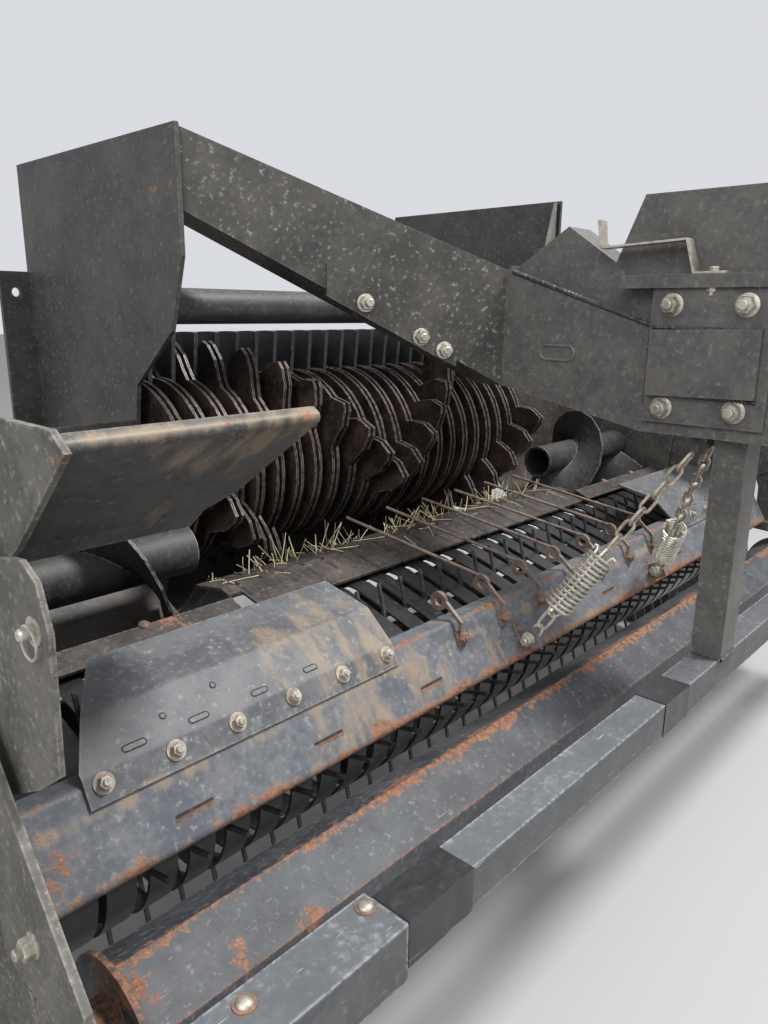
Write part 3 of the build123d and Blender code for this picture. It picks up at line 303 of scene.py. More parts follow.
# Ridges in (y, z) that rust and earth follow; a line adds its radius, and a spot is a point and a radius
FOLD = (-0.947, -0.224)
LIP = (-1.000, -0.316)
ROLLER_RIDGE = (-1.052, -0.353)
FINISHES = {
    "neck": worn_steel("neck_paint", (0.064, 0.061, 0.057), (0.100, 0.095, 0.087), rust=0.05, dust_and_top_light=0.40,
                       wear=0.35, gloss=0.46, specks=0.45, shift=0.4, bare=(0.24, 0.23, 0.21)),
    "arm": worn_steel("arm_paint", (0.032, 0.030, 0.027), (0.062, 0.057, 0.050), rust=0.10, dust_and_top_light=0.60,
                      wear=0.40, gloss=0.50, specks=1.00, shift=25.0, bare=(0.22, 0.20, 0.18)),
    "body": worn_steel("body_paint", (0.026, 0.027, 0.028), (0.052, 0.050, 0.047), rust=0.18, dust_and_top_light=0.50,
                       wear=0.35, gloss=0.46, specks=0.40, shift=2.2, bare=(0.18, 0.17, 0.155)),
    "hood": worn_steel("hood_paint", (0.030, 0.031, 0.031), (0.062, 0.061, 0.057), rust=0.12, dust_and_top_light=0.45,
                       wear=0.60, gloss=0.48, specks=0.40, shift=5.0, bare=(0.27, 0.26, 0.23),
                       rust_spots=(((-0.84, -1.070, 0.152), 0.045), ((-0.76, -1.070, 0.152), 0.03)),
                       earth_lines=((-1.074, 0.153, 0.012),),
                       earth_spots=(((-0.80, -1.05, 0.13), 0.10), ((-0.86, -1.03, 0.12), 0.08))),
    "cheek": worn_steel("cheek_paint", (0.050, 0.048, 0.044), (0.105, 0.098, 0.087), rust=0.20, dust_and_top_light=0.80,
                        wear=0.70, gloss=0.55, specks=0.85, shift=7.7, bare=(0.34, 0.32, 0.27),
                        rust_lines=((-1.105, 0.145, 0.03),)),
    "guard": worn_steel("guard_paint", (0.070, 0.076, 0.090), (0.128, 0.133, 0.145), rust=0.16, dust_and_top_light=0.40,
                        wear=0.55, gloss=0.52, specks=0.80, shift=3.9, scratches=0.4, edge_rust=0.10,
                        rust_lines=(LIP + (0.034,), FOLD + (0.014,)),
                        rust_spots=(((-1.030, -0.985, -0.270), 0.115), ((-0.93, -0.950, -0.228), 0.05),
                                    ((-0.20, -0.99, -0.29), 0.06), ((0.30, -0.99, -0.29), 0.06),
                                    ((-0.57, -0.998, -0.31), 0.06)),
                        earth_lines=((-0.963, -0.252, 0.016), LIP + (0.030,)),
                        earth_spots=(((-0.60, -0.99, -0.29), 0.16), ((-0.44, -0.98, -0.27), 0.12),
                                     ((-0.25, -0.97, -0.26), 0.10))),
    "deflector": worn_steel("deflector_paint", (0.060, 0.065, 0.075), (0.112, 0.115, 0.120), rust=0.08,
                            dust_and_top_light=0.45, wear=0.65, gloss=0.54, specks=0.90, shift=8.8, scratches=0.4,
                            rust_lines=((-0.961, -0.248, 0.007),), earth_lines=((-0.960, -0.246, 0.010),),
                            earth_spots=(((-0.60, -0.91, -0.19), 0.15), ((-0.53, -0.93, -0.21), 0.11),
                                         ((-0.68, -0.88, -0.175), 0.07))),
    "roller": worn_steel("roller_paint", (0.020, 0.024, 0.031), (0.052, 0.058, 0.067), rust=0.14, dust_and_top_light=0.35,
                         wear=0.35, gloss=0.56, specks=0.45, shift=1.3, scratches=0.5, edge_rust=0.22,
                         edge_size=0.010, rust_lines=(ROLLER_RIDGE + (0.034,),),
                         rust_spots=(((-1.01, -1.06, -0.37), 0.12), ((-0.88, -1.10, -0.385), 0.05),
                                     ((-0.80, -1.11, -0.39), 0.05))),
    # The bar's bluish dust at full strength is partly painted light: it makes the faces that look up lighter,
    # as if lit from above, and leaves the front darker.
    "bar": worn_steel("bar_paint", (0.034, 0.035, 0.036), (0.064, 0.064, 0.064), rust=0.08, dust_and_top_light=1.00,
                      wear=0.90, gloss=0.44, specks=0.25, shift=6.1, scratches=0.6, bare=(0.40, 0.42, 0.44),
                      edge_size=0.005, dust_and_top_light_colour=(0.31, 0.33, 0.37)),
    "rotor": worn_steel("rotor_steel", (0.018, 0.016, 0.015), (0.078, 0.051, 0.040), rust=0.16, dust_and_top_light=0.15,
                        wear=0.85, gloss=0.36, specks=0.12, shift=9.4, metallic=0.35, scratches=0.4,
                        bare=(0.46, 0.44, 0.42), edge_size=0.0025),
    "comb": worn_steel("comb_steel", (0.014, 0.015, 0.017), (0.036, 0.036, 0.038), rust=0.12, dust_and_top_light=0.20,
                       wear=0.35, gloss=0.40, specks=0.2, shift=22.0, bare=(0.20, 0.19, 0.18)),
    "floor": worn_steel("floor_steel", (0.026, 0.022, 0.020), (0.068, 0.054, 0.047), rust=0.14, dust_and_top_light=0.25,
                        wear=0.50, gloss=0.50, specks=0.40, shift=4.8, metallic=0.1, scratches=0.5,
                        rust_spots=(((-0.66, -0.66, -0.21), 0.10),)),
    "auger": worn_steel("auger_steel", (0.014, 0.015, 0.016), (0.038, 0.036, 0.034), rust=0.20, dust_and_top_light=0.20,
                        wear=0.75, gloss=0.54, specks=0.25, shift=10.9, metallic=0.05,
                        bare=(0.50, 0.47, 0.43)),
    "bands": worn_steel("band_steel", (0.011, 0.012, 0.013), (0.021, 0.022, 0.023), rust=0.05, dust_and_top_light=0.10,
                        wear=0.0, gloss=0.30, specks=0.10, shift=12.0, scratches=0.5, relief=0.05),
    "tines": worn_steel("tine_steel", (0.022, 0.020, 0.019), (0.055, 0.047, 0.041), rust=0.25, dust_and_top_light=0.25,
                        wear=0.5, gloss=0.45, specks=0.2, shift=13.0, metallic=0.3),
    "rods": worn_steel("rod_steel", (0.12, 0.083, 0.066), (0.24, 0.17, 0.135), rust=0.40, dust_and_top_light=0.25,
                       wear=0.6, gloss=0.48, specks=0.1, shift=14.0, metallic=0.4),
    "zinc": worn_steel("zinc_plating", (0.30, 0.27, 0.215), (0.54, 0.50, 0.43), rust=0.24, dust_and_top_light=0.30,
                       wear=0.5, gloss=0.38, specks=0.15, shift=15.0, metallic=0.6, bare=(0.78, 0.75, 0.69)),
    "chain": worn_steel("chain_zinc", (0.24, 0.195, 0.15), (0.46, 0.39, 0.30), rust=0.24, dust_and_top_light=0.35,
                        wear=0.5, gloss=0.44, specks=0.15, shift=16.0, metallic=0.4, bare=(0.66, 0.60, 0.50)),
    "spring": worn_steel("spring_plating", (0.38, 0.35, 0.28), (0.66, 0.62, 0.52), rust=0.10, dust_and_top_light=0.25,
                         wear=0.7, gloss=0.32, specks=0.1, shift=17.0, metallic=0.5, bare=(0.85, 0.82, 0.74)),
    "rusted": worn_steel("rusted_steel", (0.085, 0.048, 0.032), (0.20, 0.115, 0.075), rust=0.70, dust_and_top_light=0.15,
                         wear=0.4, gloss=0.6, specks=0.1, shift=18.0),
    "rim": worn_steel("rim_paint", (0.46, 0.47, 0.45), (0.62, 0.62, 0.59), rust=0.12, dust_and_top_light=0.5,
                      wear=0.4, gloss=0.42, specks=0.3, shift=19.0),
    "shadow": worn_steel("slot_shadow", (0.008, 0.008, 0.008), (0.022, 0.018, 0.015), rust=0.10, dust_and_top_light=0.1,
                         wear=0.1, gloss=0.75, specks=0.1, shift=20.0),
    "weld": worn_steel("weld_steel", (0.014, 0.014, 0.015), (0.034, 0.032, 0.030), rust=0.2, dust_and_top_light=0.2,
                       wear=0.3, gloss=0.42, specks=0.1, shift=21.0),
}


def rubber_finish():
    """Matt black tyre rubber with dust in it."""
    look = Finish("tyre_rubber")
    fine = look.noise(70.0, 5.0)
    broad = look.noise(9.0, 3.0)
    colour = look.mix(look.ramp(fine, 0.4, 0.7), (0.012, 0.012, 0.012), (0.045, 0.042, 0.038))
    colour = look.mix(look.ramp(broad, 0.45, 0.75, 0.0, 0.5), colour, DUST)
    look.feed(look.shader.inputs["Base Color"], colour)
    look.feed(look.shader.inputs["Roughness"], look.ramp(fine, 0.2, 0.8, 0.75, 0.95))
    look.bump(fine, 0.4, 0.001)
    return look.material


def straw_finish():
    """Dry stalks from pale gold to grey green."""
    look = Finish("straw")
    tone = look.noise(38.0, 2.0)
    colour = look.mix(look.ramp(tone, 0.35, 0.65), (0.34, 0.29, 0.16), (0.58, 0.51, 0.33))
    look.feed(look.shader.inputs["Base Color"], colour)
    look.feed(look.shader.inputs["Roughness"], 0.7)
    look.bump(look.noise(900.0, 1.0), 0.3, 0.0004)
    return look.material


FINISHES["rubber"] = rubber_finish()
FINISHES["straw"] = straw_finish()

NODE_FINISHES = {
    "neck": "neck", "neck_arm": "arm", "post": "neck", "guard_bar": "bar", "bar_sleeve": "bar",
    "auger_hood": "hood", "outer_plate": "cheek", "pickup_side": "cheek", "guard_arm": "cheek",
    "guard_plate": "guard", "deflector": "deflector", "front_roller": "roller", "spring_rods": "rods",
    "rotor": "rotor", "stripper_comb": "comb", "feed_floor": "floor", "auger_trough": "floor",
    "auger_right": "auger", "auger_left": "auger", "stripper_bands": "bands", "tine_reel": "tines",
    "chain_right": "chain", "chain_left": "chain", "chain_spring": "spring", "wheel_rim": "rim",
    "wheel_tyre": "rubber",
}


def finish_of(node_name):
    """Finish of the longest name that a CAD node's starts with, or else the body's."""
    prefixes = [prefix for prefix in NODE_FINISHES if node_name.startswith(prefix)]
    return FINISHES[NODE_FINISHES[max(prefixes, key=len)] if prefixes else "body"]


for node_name, node in nodes.items():
    finish = finish_of(node_name)
    if not node.material_slots:
        node.data.materials.append(finish)
    for material_slot in node.material_slots:
        material_slot.material = finish


# Small parts: a ray from outside finds the seat of each on its solid, and it sinks in a little
BESIDE_NECK = 0.3
BESIDE_PICKUP = 1.3
ABOVE_FLOOR = 0.10
ABOVE_TROUGH = 0.3
ABOVE_BAR = -0.1
SINK = 0.0005
SLAB_SINK = 0.001
TIP = 0.0005
WASHER_T = 0.0022
NUT_HEIGHT = 0.55  # this and the thread's radius are shares of the width over flats
THREAD_R = 0.31
trees = {}


def seat(node_name, start, direction):
    """Point and outward normal where a ray meets a CAD node."""
    if node_name not in trees:
        mesh = nodes[node_name].data
        corners = [vertex.co.copy() for vertex in mesh.vertices]
        trees[node_name] = BVHTree.FromPolygons(corners, [tuple(face.vertices) for face in mesh.polygons])
    ray = Vector(direction).normalized()
    point, normal, _, _ = trees[node_name].ray_cast(Vector(start), ray)
    if point is None:
        return None, None
    if normal.dot(ray) > 0:
        normal = -normal
    return point, normal


def across_of(axis):
    """Two unit vectors square to an axis."""
    axis = Vector(axis).normalized()
    other = Vector((1, 0, 0)) if abs(axis.x) < 0.9 else Vector((0, 1, 0))
    first = (other - axis * other.dot(axis)).normalized()
    return first, axis.cross(first)


class Piece:
    """Collects the faces of one small part."""

    def __init__(self):
        self.points = []
        self.faces = []

    def ring(self, centre, first, second, radius, steps, turn=0.0):
        """Numbers of the points of a new circle."""
        start = len(self.points)
        for step in range(steps):
            angle = 2 * math.pi * step / steps + turn
            reach = first * (radius * math.cos(angle)) + second * (radius * math.sin(angle))
            self.points.append(centre + reach)
        return list(range(start, start + steps))

    def join(self, near, far):
        """Faces between two rings."""
        count = len(near)
        for step in range(count):
            after = (step + 1) % count
            self.faces.append((near[step], near[after], far[after], far[step]))

    def skin(self, rings, closed=False):
        """Surface over a row of rings, with flat ends or joined end to end."""
        for near, far in zip(rings, rings[1:]):
            self.join(near, far)
        if closed:
            self.join(rings[-1], rings[0])
        else:
            self.faces.append(tuple(reversed(rings[0])))
            self.faces.append(tuple(rings[-1]))

    def lathe(self, origin, axis, profile, steps=24, turn=0.0):
        """Solid of revolution from (radius, height) pairs, closed at both ends."""
        origin = Vector(origin)
        axis = Vector(axis).normalized()
        first, second = across_of(axis)
        self.skin([self.ring(origin + axis * height, first, second, radius, steps, turn)
                   for radius, height in profile])

    def tube(self, path, radius, steps=8, closed=False, swell=None):
        """Round bar along points, with an even twist."""
        path = [Vector(point) for point in path]
        count = len(path)
        rings = []
        first = None
        for index, point in enumerate(path):
            before = path[(index - 1) % count] if closed or index > 0 else point
            after = path[(index + 1) % count] if closed or index < count - 1 else point
            along = (after - before).normalized()
            if first is None:
                first, _ = across_of(along)
            first = (first - along * first.dot(along)).normalized()
            size = radius * (swell[index] if swell else 1.0)
            rings.append(self.ring(point, first, along.cross(first), size, steps))
        self.skin(rings, closed)

    def slab(self, origin, normal, x_dir, outline, thickness):
        """Flat plate: its outline in (x, y) pairs, raised along the normal."""
        origin = Vector(origin)
        normal = Vector(normal).normalized()
        x_dir = Vector(x_dir)
        x_dir = (x_dir - normal * x_dir.dot(normal)).normalized()
        y_dir = normal.cross(x_dir)
        start = len(self.points)
        count = len(outline)
        for lift in (0.0, thickness):
            for x, y in outline:
                self.points.append(origin + x_dir * x + y_dir * y + normal * lift)
        self.skin([list(range(start, start + count)), list(range(start + count, start + 2 * count))])

    def done(self, name, body, finish, sharp_deg=32.0):
        """Makes the mesh, gives it its finish and puts it on its body."""
        mesh = bpy.data.meshes.new(name)
        mesh.from_pydata(self.points, [], self.faces)
        work = bmesh.new()
        work.from_mesh(mesh)
        bmesh.ops.recalc_face_normals(work, faces=work.faces)
        work.to_mesh(mesh)
        work.free()
        mesh.polygons.foreach_set("use_smooth", [True] * len(mesh.polygons))
        mesh.set_sharp_from_angle(angle=math.radians(sharp_deg))
        mesh.materials.append(FINISHES[finish])
        item = bpy.data.objects.new(name, mesh)
        bpy.context.scene.collection.objects.link(item)
        if body:
            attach(item, body)
        return item


def stadium(length, width, steps=8):
    """Outline of a slot with round ends."""
    outline = []
    for centre, begin in ((length / 2 - width / 2, -90), (-length / 2 + width / 2, 90)):
        for step in range(steps + 1):
            angle = math.radians(begin + 180 * step / steps)
            outline.append((centre + width / 2 * math.cos(angle), width / 2 * math.sin(angle)))
    return outline


def add_bolt(piece, place, normal, flats=0.019, washer=0.0125, stud=0.005, turn=0.0):
    """Hexagon nut on a washer with the end of its bolt."""
    place = Vector(place)
    normal = Vector(normal).normalized()
    if washer:
        washer_top = WASHER_T + 0.0005
        piece.lathe(place - normal * SINK, normal,
                    ((washer, 0), (washer, WASHER_T), (washer - 0.001, washer_top), (TIP, washer_top)), 24)
    radius = flats / 2 / math.cos(math.pi / 6)
    height = flats * NUT_HEIGHT
    foot = place + normal * (WASHER_T if washer else -SINK)
    piece.lathe(foot, normal, ((radius, 0), (radius, height * 0.82), (radius * 0.88, height),
                               (TIP, height)), 6, turn)
    if stud:
        thread = flats * THREAD_R
        end = stud + 0.0012
        piece.lathe(foot + normal * (height - 0.001), normal,
                    ((thread, 0), (thread, stud), (thread * 0.8, end), (TIP, end)), 14)


def add_washer(piece, place, normal, radius, thickness):
    """Flat round washer, sunk a little into its seat."""
    piece.lathe(place - normal * SINK, normal, ((radius, 0), (radius, thickness), (TIP, thickness)), 22)


def add_dome(piece, place, normal, radius=0.010):
    """Round-headed bolt."""
    profile = [(radius, -SINK)]
    profile += [(radius * math.cos(math.radians(a)), radius * 0.55 * math.sin(math.radians(a)))
                for a in range(0, 90, 15)]
    profile.append((0.0004, radius * 0.55))
    piece.lathe(place, normal, profile, 20)


def add_weld(piece, start, end, radius, dice):
    """Rippled bead between two points."""
    start = Vector(start)
    end = Vector(end)
    count = max(6, int((end - start).length / (radius * 0.9)))
    path = [start.lerp(end, index / count) for index in range(count + 1)]
    swell = [0.85 + 0.3 * (index % 2) + dice.uniform(-0.08, 0.08) for index in range(count + 1)]
    piece.tube(path, radius, 7, swell=swell)


# Bolts of the neck, in (y, z) and (x, y, z)
JOINT_BOLTS = ((-1.134, 0.263), (-1.244, 0.263), (-1.132, 0.107), (-1.242, 0.110))
ARM_BOLTS = ((0.290, -0.696, 0.263), (0.202, -0.745, 0.207), (0.164, -0.767, 0.184))


def joint_bolts():
    """Bolts of the plates where the neck's two parts meet."""
    piece = Piece()
    for _, side in SIDES:
        for index, (y, z) in enumerate(JOINT_BOLTS):
            place, normal = seat("neck", (side * BESIDE_NECK, y, z), (-side, 0, 0))
            add_bolt(piece, place, normal, 0.024, 0.0175, 0.009, turn=index * 0.9 + side)
    piece.done("neck_bolts", "frame", "zinc")


def arm_bolts():
    """Bolts along the lower strip of the neck's two arms."""
    piece = Piece()
    for name, side in SIDES:
        outward = Vector((side * 0.49, -0.87, 0.0)).normalized()
        for index, (x, y, z) in enumerate(ARM_BOLTS):
            start = Vector((side * x, y, z)) + outward * 0.12
            place, normal = seat(f"neck_arm_{name}", start, -outward)
            add_bolt(piece, place, normal, 0.022, 0.015, 0.016 if index == 0 else 0.004, turn=index)
    piece.done("arm_bolts", "frame", "zinc")


# Crop guard: its plate slopes down and forward, and OUT is square to it
SLOPE_DEG = 240
SLOPE = Vector((0.0, math.cos(math.radians(SLOPE_DEG)), math.sin(math.radians(SLOPE_DEG))))
OUT = Vector((0.0, math.cos(math.radians(SLOPE_DEG - 90)), math.sin(math.radians(SLOPE_DEG - 90))))
DEFLECTOR_FOOT = (-0.9525, -0.2265)
DEFLECTOR_NUTS_X = (0.937, 0.851, 0.767, 0.680, 0.593, 0.506)
DEFLECTOR_SLOTS = (
    # x, y, z, length
    (0.892, -0.938, -0.217, 0.030), (0.810, -0.938, -0.217, 0.028), (0.722, -0.938, -0.216, 0.026),
    (0.637, -0.937, -0.216, 0.024), (0.848, -0.924, -0.204, 0.009), (0.774, -0.915, -0.196, 0.009),
)
GUARD_SLOTS_X = (-0.850, -0.647, -0.438, 0.115, 0.450, 0.850)
GUARD_SLOT_LINE = (-0.984, -0.288)
ROD_COUNT = 7
ROD_PITCH = 0.115
ROD_FOOT = (-0.962, -0.250)
EAR_X = {"right": -0.200, "left": 0.300}
EAR_PIN = (-1.0017, -0.2848)
EAR_FOOT = (-0.9781, -0.2786)


def deflector_fittings():
    """Nuts along the foot of each deflector, and its spare slots and holes, drawn as dark slabs of painted
    shade with a fill of the deflector's paint.
    """
    nuts = Piece()
    washers = Piece()
    slots = Piece()
    fills = Piece()
    for name, side in SIDES:
        for index, x in enumerate(DEFLECTOR_NUTS_X):
            place, normal = seat(f"deflector_{name}", Vector((side * x, *DEFLECTOR_FOOT)) + OUT * 0.1, -OUT)
            add_washer(washers, place, normal, 0.0118, WASHER_T)
            add_bolt(nuts, place + normal * 0.0017, normal, 0.0140, 0.0, 0.0035, turn=index * 1.3 + side)
        for x, y, z, length in DEFLECTOR_SLOTS:
            place, normal = seat(f"deflector_{name}", (side * x, y, z + 0.1), (0, 0, -1))
            # Each slot is a dark slab of painted shade round its edge, with a fill of the deflector's paint
            # inside.
            slots.slab(place - normal * SLAB_SINK, normal, (1, 0, 0), stadium(length, 0.009), 0.0013)
            fills.slab(place, normal, (1, 0, 0), stadium(length - 0.0035, 0.0055), 0.0007)
    nuts.done("deflector_nuts", "crop_guard", "zinc")
    washers.done("deflector_washers", "crop_guard", "chain")
    slots.done("deflector_slot_shade", "crop_guard", "shadow")
    fills.done("deflector_slot_fills", "crop_guard", "deflector")


def guard_fittings():
    """Slots in the guard plate with a strip of painted shade in each, bolts of the spring rods and of the two
    chain ears.
    """
    slots = Piece()
    lines = Piece()
    bolts = Piece()
    ears = Piece()
    welds = Piece()
    dice = random.Random(11)
    for x in GUARD_SLOTS_X:
        place, normal = seat("guard_plate", Vector((x, *GUARD_SLOT_LINE)) + OUT * 0.1, -OUT)
        slots.slab(place - normal * SLAB_SINK, normal, (1, 0, 0), stadium(0.052, 0.009), 0.0013)
        # A thin dark strip in the shadow finish, moved up within each slot, is painted shade under the slot's
        # upper edge.
        shade = normal.cross(Vector((1, 0, 0))) * 0.0024
        shade = shade if shade.z > 0 else -shade
        lines.slab(place + shade - normal * SLAB_SINK, normal, (1, 0, 0), stadium(0.049, 0.0036), 0.0017)
    for index in range(ROD_COUNT):
        x = (index - ROD_COUNT // 2) * ROD_PITCH
        place, normal = seat("spring_rods", Vector((x, *ROD_FOOT)) + OUT * 0.08, -OUT)
        add_bolt(bolts, place, normal, 0.016, 0.0, 0.003, turn=index)
    for x in EAR_X.values():
        eye = Vector((x, *EAR_PIN))
        add_bolt(ears, eye + Vector((-0.004, 0, 0)), (-1, 0, 0), 0.019, 0.013, 0.004)
        add_bolt(ears, eye + Vector((0.004, 0, 0)), (1, 0, 0), 0.019, 0.013, 0.0, turn=0.4)
        for side in (-1, 1):
            foot = Vector((x + side * 0.005, *EAR_FOOT))
            add_weld(welds, foot - SLOPE * 0.017, foot + SLOPE * 0.017, 0.0032, dice)
    slots.done("guard_slots", "crop_guard", "rusted")
    lines.done("guard_slot_shade", "crop_guard", "shadow")
    bolts.done("rod_bolts", "crop_guard", "rusted")
    ears.done("ear_bolts", "crop_guard", "zinc")
    welds.done("ear_welds", "crop_guard", "rusted")


# Front guard bar and its tape
BAR_TOP = -0.2985
SLEEVE_BOLTS = ((0.819, -1.218), (0.961, -1.220))
TAPE_SPANS = ((-0.800, -0.700), (-0.235, -0.150))
TAPE_STEPS = 9
TAPE_BACK, TAPE_FRONT = -1.210, -1.255
TAPE_TOP, TAPE_FOOT = -0.299, -0.349


def bar_fittings():
    """Round bolts on the bar's sleeves, and tape with ragged turns round the bar."""
    domes = Piece()
    washers = Piece()
    for name, side in SIDES:
        for x, y in SLEEVE_BOLTS:
            place, normal = seat(f"bar_sleeve_{name}", (side * x, y, ABOVE_BAR), (0, 0, -1))
            add_washer(washers, place, normal, 0.0105, 0.0016)
            add_dome(domes, place + normal * 0.0012, normal, 0.0078)
    domes.done("sleeve_bolts", "frame", "zinc")
    washers.done("sleeve_washers", "frame", "rusted")
    tape = Piece()
    dice = random.Random(5)
    for start, end in TAPE_SPANS:
        rings = []
        for step in range(TAPE_STEPS + 1):
            x = start + (end - start) * step / TAPE_STEPS
            ragged = 0.0006 + 0.0010 * dice.random()
            back, front = TAPE_BACK + ragged, TAPE_FRONT - ragged
            top, foot = TAPE_TOP + ragged, TAPE_FOOT - ragged
            row = len(tape.points)
            tape.points += [Vector((x, back, foot)), Vector((x, back, top)), Vector((x, front, top)),
                            Vector((x, front, foot))]
            rings.append([row, row + 1, row + 2, row + 3])
        tape.skin(rings)
    tape.done("bar_tape", "frame", "bands")


# Feed floor and troughs
KNIFE_PITCH = 0.049
KNIFE_SLOTS = 22
GROOVES_Y = (-0.602, -0.640)
TROUGH_BOLTS = ((0.715, -0.655), (0.880, -0.655))


def floor_fittings():
    """Dark slabs of painted shade for the grooves that lead into the floor's knife slots, and the bolts of
    the auger troughs.
    """
    groove_shade = Piece()
    # Each groove is a dark slab of painted shade on the floor, not a recess.
    for index in range(KNIFE_SLOTS):
        x = (index - (KNIFE_SLOTS - 1) / 2) * KNIFE_PITCH
        for y in GROOVES_Y:
            place, normal = seat("feed_floor", (x, y, ABOVE_FLOOR), (0, 0, -1))
            if place is not None:
                groove_shade.slab(place - normal * SLAB_SINK, normal, (0, 1, 0), stadium(0.032, 0.0075, 4), 0.0014)
    groove_shade.done("floor_groove_shade", "frame", "shadow")
    piece = Piece()
    for name, side in SIDES:
        for x, y in TROUGH_BOLTS:
            place, normal = seat(f"auger_trough_{name}", (side * x, y, ABOVE_TROUGH), (0, 0, -1))
            add_dome(piece, place, normal, 0.0095)
    piece.done("trough_bolts", "frame", "rusted")


# Pickup sides and guard arms, in (y, z)
SIDE_PIN = (-1.073, 0.010)
ARM_NUT = (-1.045, -0.286)
PIN_RING_R = 0.014


def side_fittings():
    """Pin with its ring on each pickup end plate, and the nut on each guard arm."""
    pins = Piece()
    nuts = Piece()
    for name, side in SIDES:
        place, normal = seat(f"pickup_side_{name}", (side * BESIDE_PICKUP, *SIDE_PIN), (-side, 0, 0))
        pins.lathe(place - normal * 0.002, normal, ((0.0125, 0), (0.0125, 0.0035), (0.0055, 0.004),
                                                    (0.0055, 0.013), (0.004, 0.015), (TIP, 0.015)), 18)
        ring = [place + normal * 0.0052
                + Vector((0, PIN_RING_R * math.cos(a), -0.008 + PIN_RING_R * math.sin(a)))
                for a in (math.radians(d) for d in range(0, 360, 20))]
        pins.tube(ring, 0.0013, 6, closed=True)
        place, normal = seat(f"guard_arm_{name}", (side * BESIDE_PICKUP, *ARM_NUT), (-side, 0, 0))
        add_bolt(nuts, place, normal, 0.018, 0.0125, 0.006, turn=side)
    pins.done("side_pins", "pickup", "zinc")
    nuts.done("arm_nuts", "crop_guard", "zinc")


# Neck
NECK_SLOT = (-0.935, 0.183)
HANDLE_BENDS = ((-1.004, 0.393), (-1.010, 0.351), (-1.148, 0.3575), (-1.163, 0.3095), (-1.213, 0.3095))
HANDLE_X = (-0.0755, -0.0495)
HANDLE_T = 0.0032
NECK_BEADS = (
    # x of the face, radius of the bead, and its two ends in (y, z)
    (0.0605, 0.0042, (-0.838, 0.3195), (-1.102, 0.2325)),
    (0.0605, 0.0042, (-1.102, 0.2325), (-1.102, 0.110)),
    (0.0685, 0.0032, (-1.106, 0.2305), (-1.272, 0.2265)),
    (0.0685, 0.0032, (-1.272, 0.1255), (-1.106, 0.1295)),
)
POST_HALF_WIDTH = 0.030
POST_FRONT, POST_BACK = -1.2575, -1.2105
SLEEVE_END_X = 0.8065
SLEEVE_FRONT = -1.2550
BAR_BEAD_R = 0.0035


def slot_ring():
    """Raised rim of the oval slot in each side of the neck."""
    piece = Piece()
    for _, side in SIDES:
        place, _ = seat("neck", (side * BESIDE_NECK, *NECK_SLOT), (-side, 0, 0))
        rim = [place + Vector((0, y, z)) for y, z in stadium(0.066, 0.024, 10)]
        piece.tube(rim, 0.0030, 6, closed=True)
    piece.done("neck_slot_rim", "frame", "neck")


def neck_handle():
    """Bent bright strip bolted on the neck's ledge."""
    piece = Piece()
    count = len(HANDLE_BENDS)
    for side_x in HANDLE_X:
        for index, (y, z) in enumerate(HANDLE_BENDS):
            before = HANDLE_BENDS[max(index - 1, 0)]
            after = HANDLE_BENDS[min(index + 1, count - 1)]
            run = Vector((0, after[0] - before[0], after[1] - before[1])).normalized()
            rise = Vector((0, run.z, -run.y)) * (HANDLE_T / 2)
            piece.points += [Vector((side_x, y, z)) - rise, Vector((side_x, y, z)) + rise]
    row = 2 * count
    for index in range(count - 1):
        a, b, c, d = 2 * index, 2 * index + 1, 2 * index + 3, 2 * index + 2
        piece.faces += [(a, b, c, d), (row + a, row + d, row + c, row + b)]
        piece.faces += [(a, d, row + d, row + a), (b, row + b, row + c, c)]
    piece.faces += [(0, row, row + 1, 1), (row - 2, row - 1, 2 * row - 1, 2 * row - 2)]
    add_bolt(piece, (-0.0625, -1.190, 0.3110), (0, 0, 1), 0.013, 0.0, 0.0)
    add_bolt(piece, (-0.0665, -1.190, 0.2885), (0, 0, -1), 0.013, 0.0, 0.006)
    piece.done("neck_handle", "frame", "zinc", sharp_deg=20)


def neck_welds():
    """Beads along the plates welded to the neck and round the post and the bar's sleeves."""
    piece = Piece()
    dice = random.Random(3)
    for _, side in SIDES:
        for x, radius, start, end in NECK_BEADS:
            add_weld(piece, (side * x, *start), (side * x, *end), radius, dice)
        corner = (side * POST_HALF_WIDTH, POST_FRONT, BAR_TOP)
        add_weld(piece, (-side * POST_HALF_WIDTH, POST_FRONT, BAR_TOP), corner, BAR_BEAD_R, dice)
        add_weld(piece, corner, (side * POST_HALF_WIDTH, POST_BACK, BAR_TOP), BAR_BEAD_R, dice)
        add_weld(piece, (side * SLEEVE_END_X, POST_BACK, BAR_TOP),
                 (side * SLEEVE_END_X, SLEEVE_FRONT, BAR_TOP), BAR_BEAD_R, dice)
    piece.done("weld_beads", "frame", "weld")


# Stripper bands, which hug the reel closer at its front than their solids do; places are (y, z)
TINE_PITCH = 0.055
BAND_COUNT = 34
BAND_WIDTH = 0.038
BAND_T = 0.004
BAND_R = 0.118
BAND_STEPS = 26
END_BAND_X = (0.937, 1.030)
REEL = (-0.790, -0.390)
TOP_RAIL = (-0.656, -0.246)
BAND_CREST = (-0.705, -0.242)
LOW_RAIL = (-0.636, -0.523)
RAIL = 0.014
RAIL_HALF_LENGTH = 1.030


def band_path():
    """Inner line of a band in (y, z), from the upper rail round the reel to the lower rail."""
    rise = (BAND_CREST[0] - REEL[0], BAND_CREST[1] - REEL[1])
    tangent = math.atan2(rise[1], rise[0]) + math.acos(BAND_R / math.hypot(*rise))
    path = [(TOP_RAIL[0], TOP_RAIL[1] + RAIL / 2), BAND_CREST]
    lowest = math.radians(270)
    for step in range(BAND_STEPS + 1):
        angle = tangent + (lowest - tangent) * step / BAND_STEPS
        path.append((REEL[0] + BAND_R * math.cos(angle), REEL[1] + BAND_R * math.sin(angle)))
    path.append((LOW_RAIL[0], LOW_RAIL[1] - RAIL / 2 + BAND_T / 2))
    return path


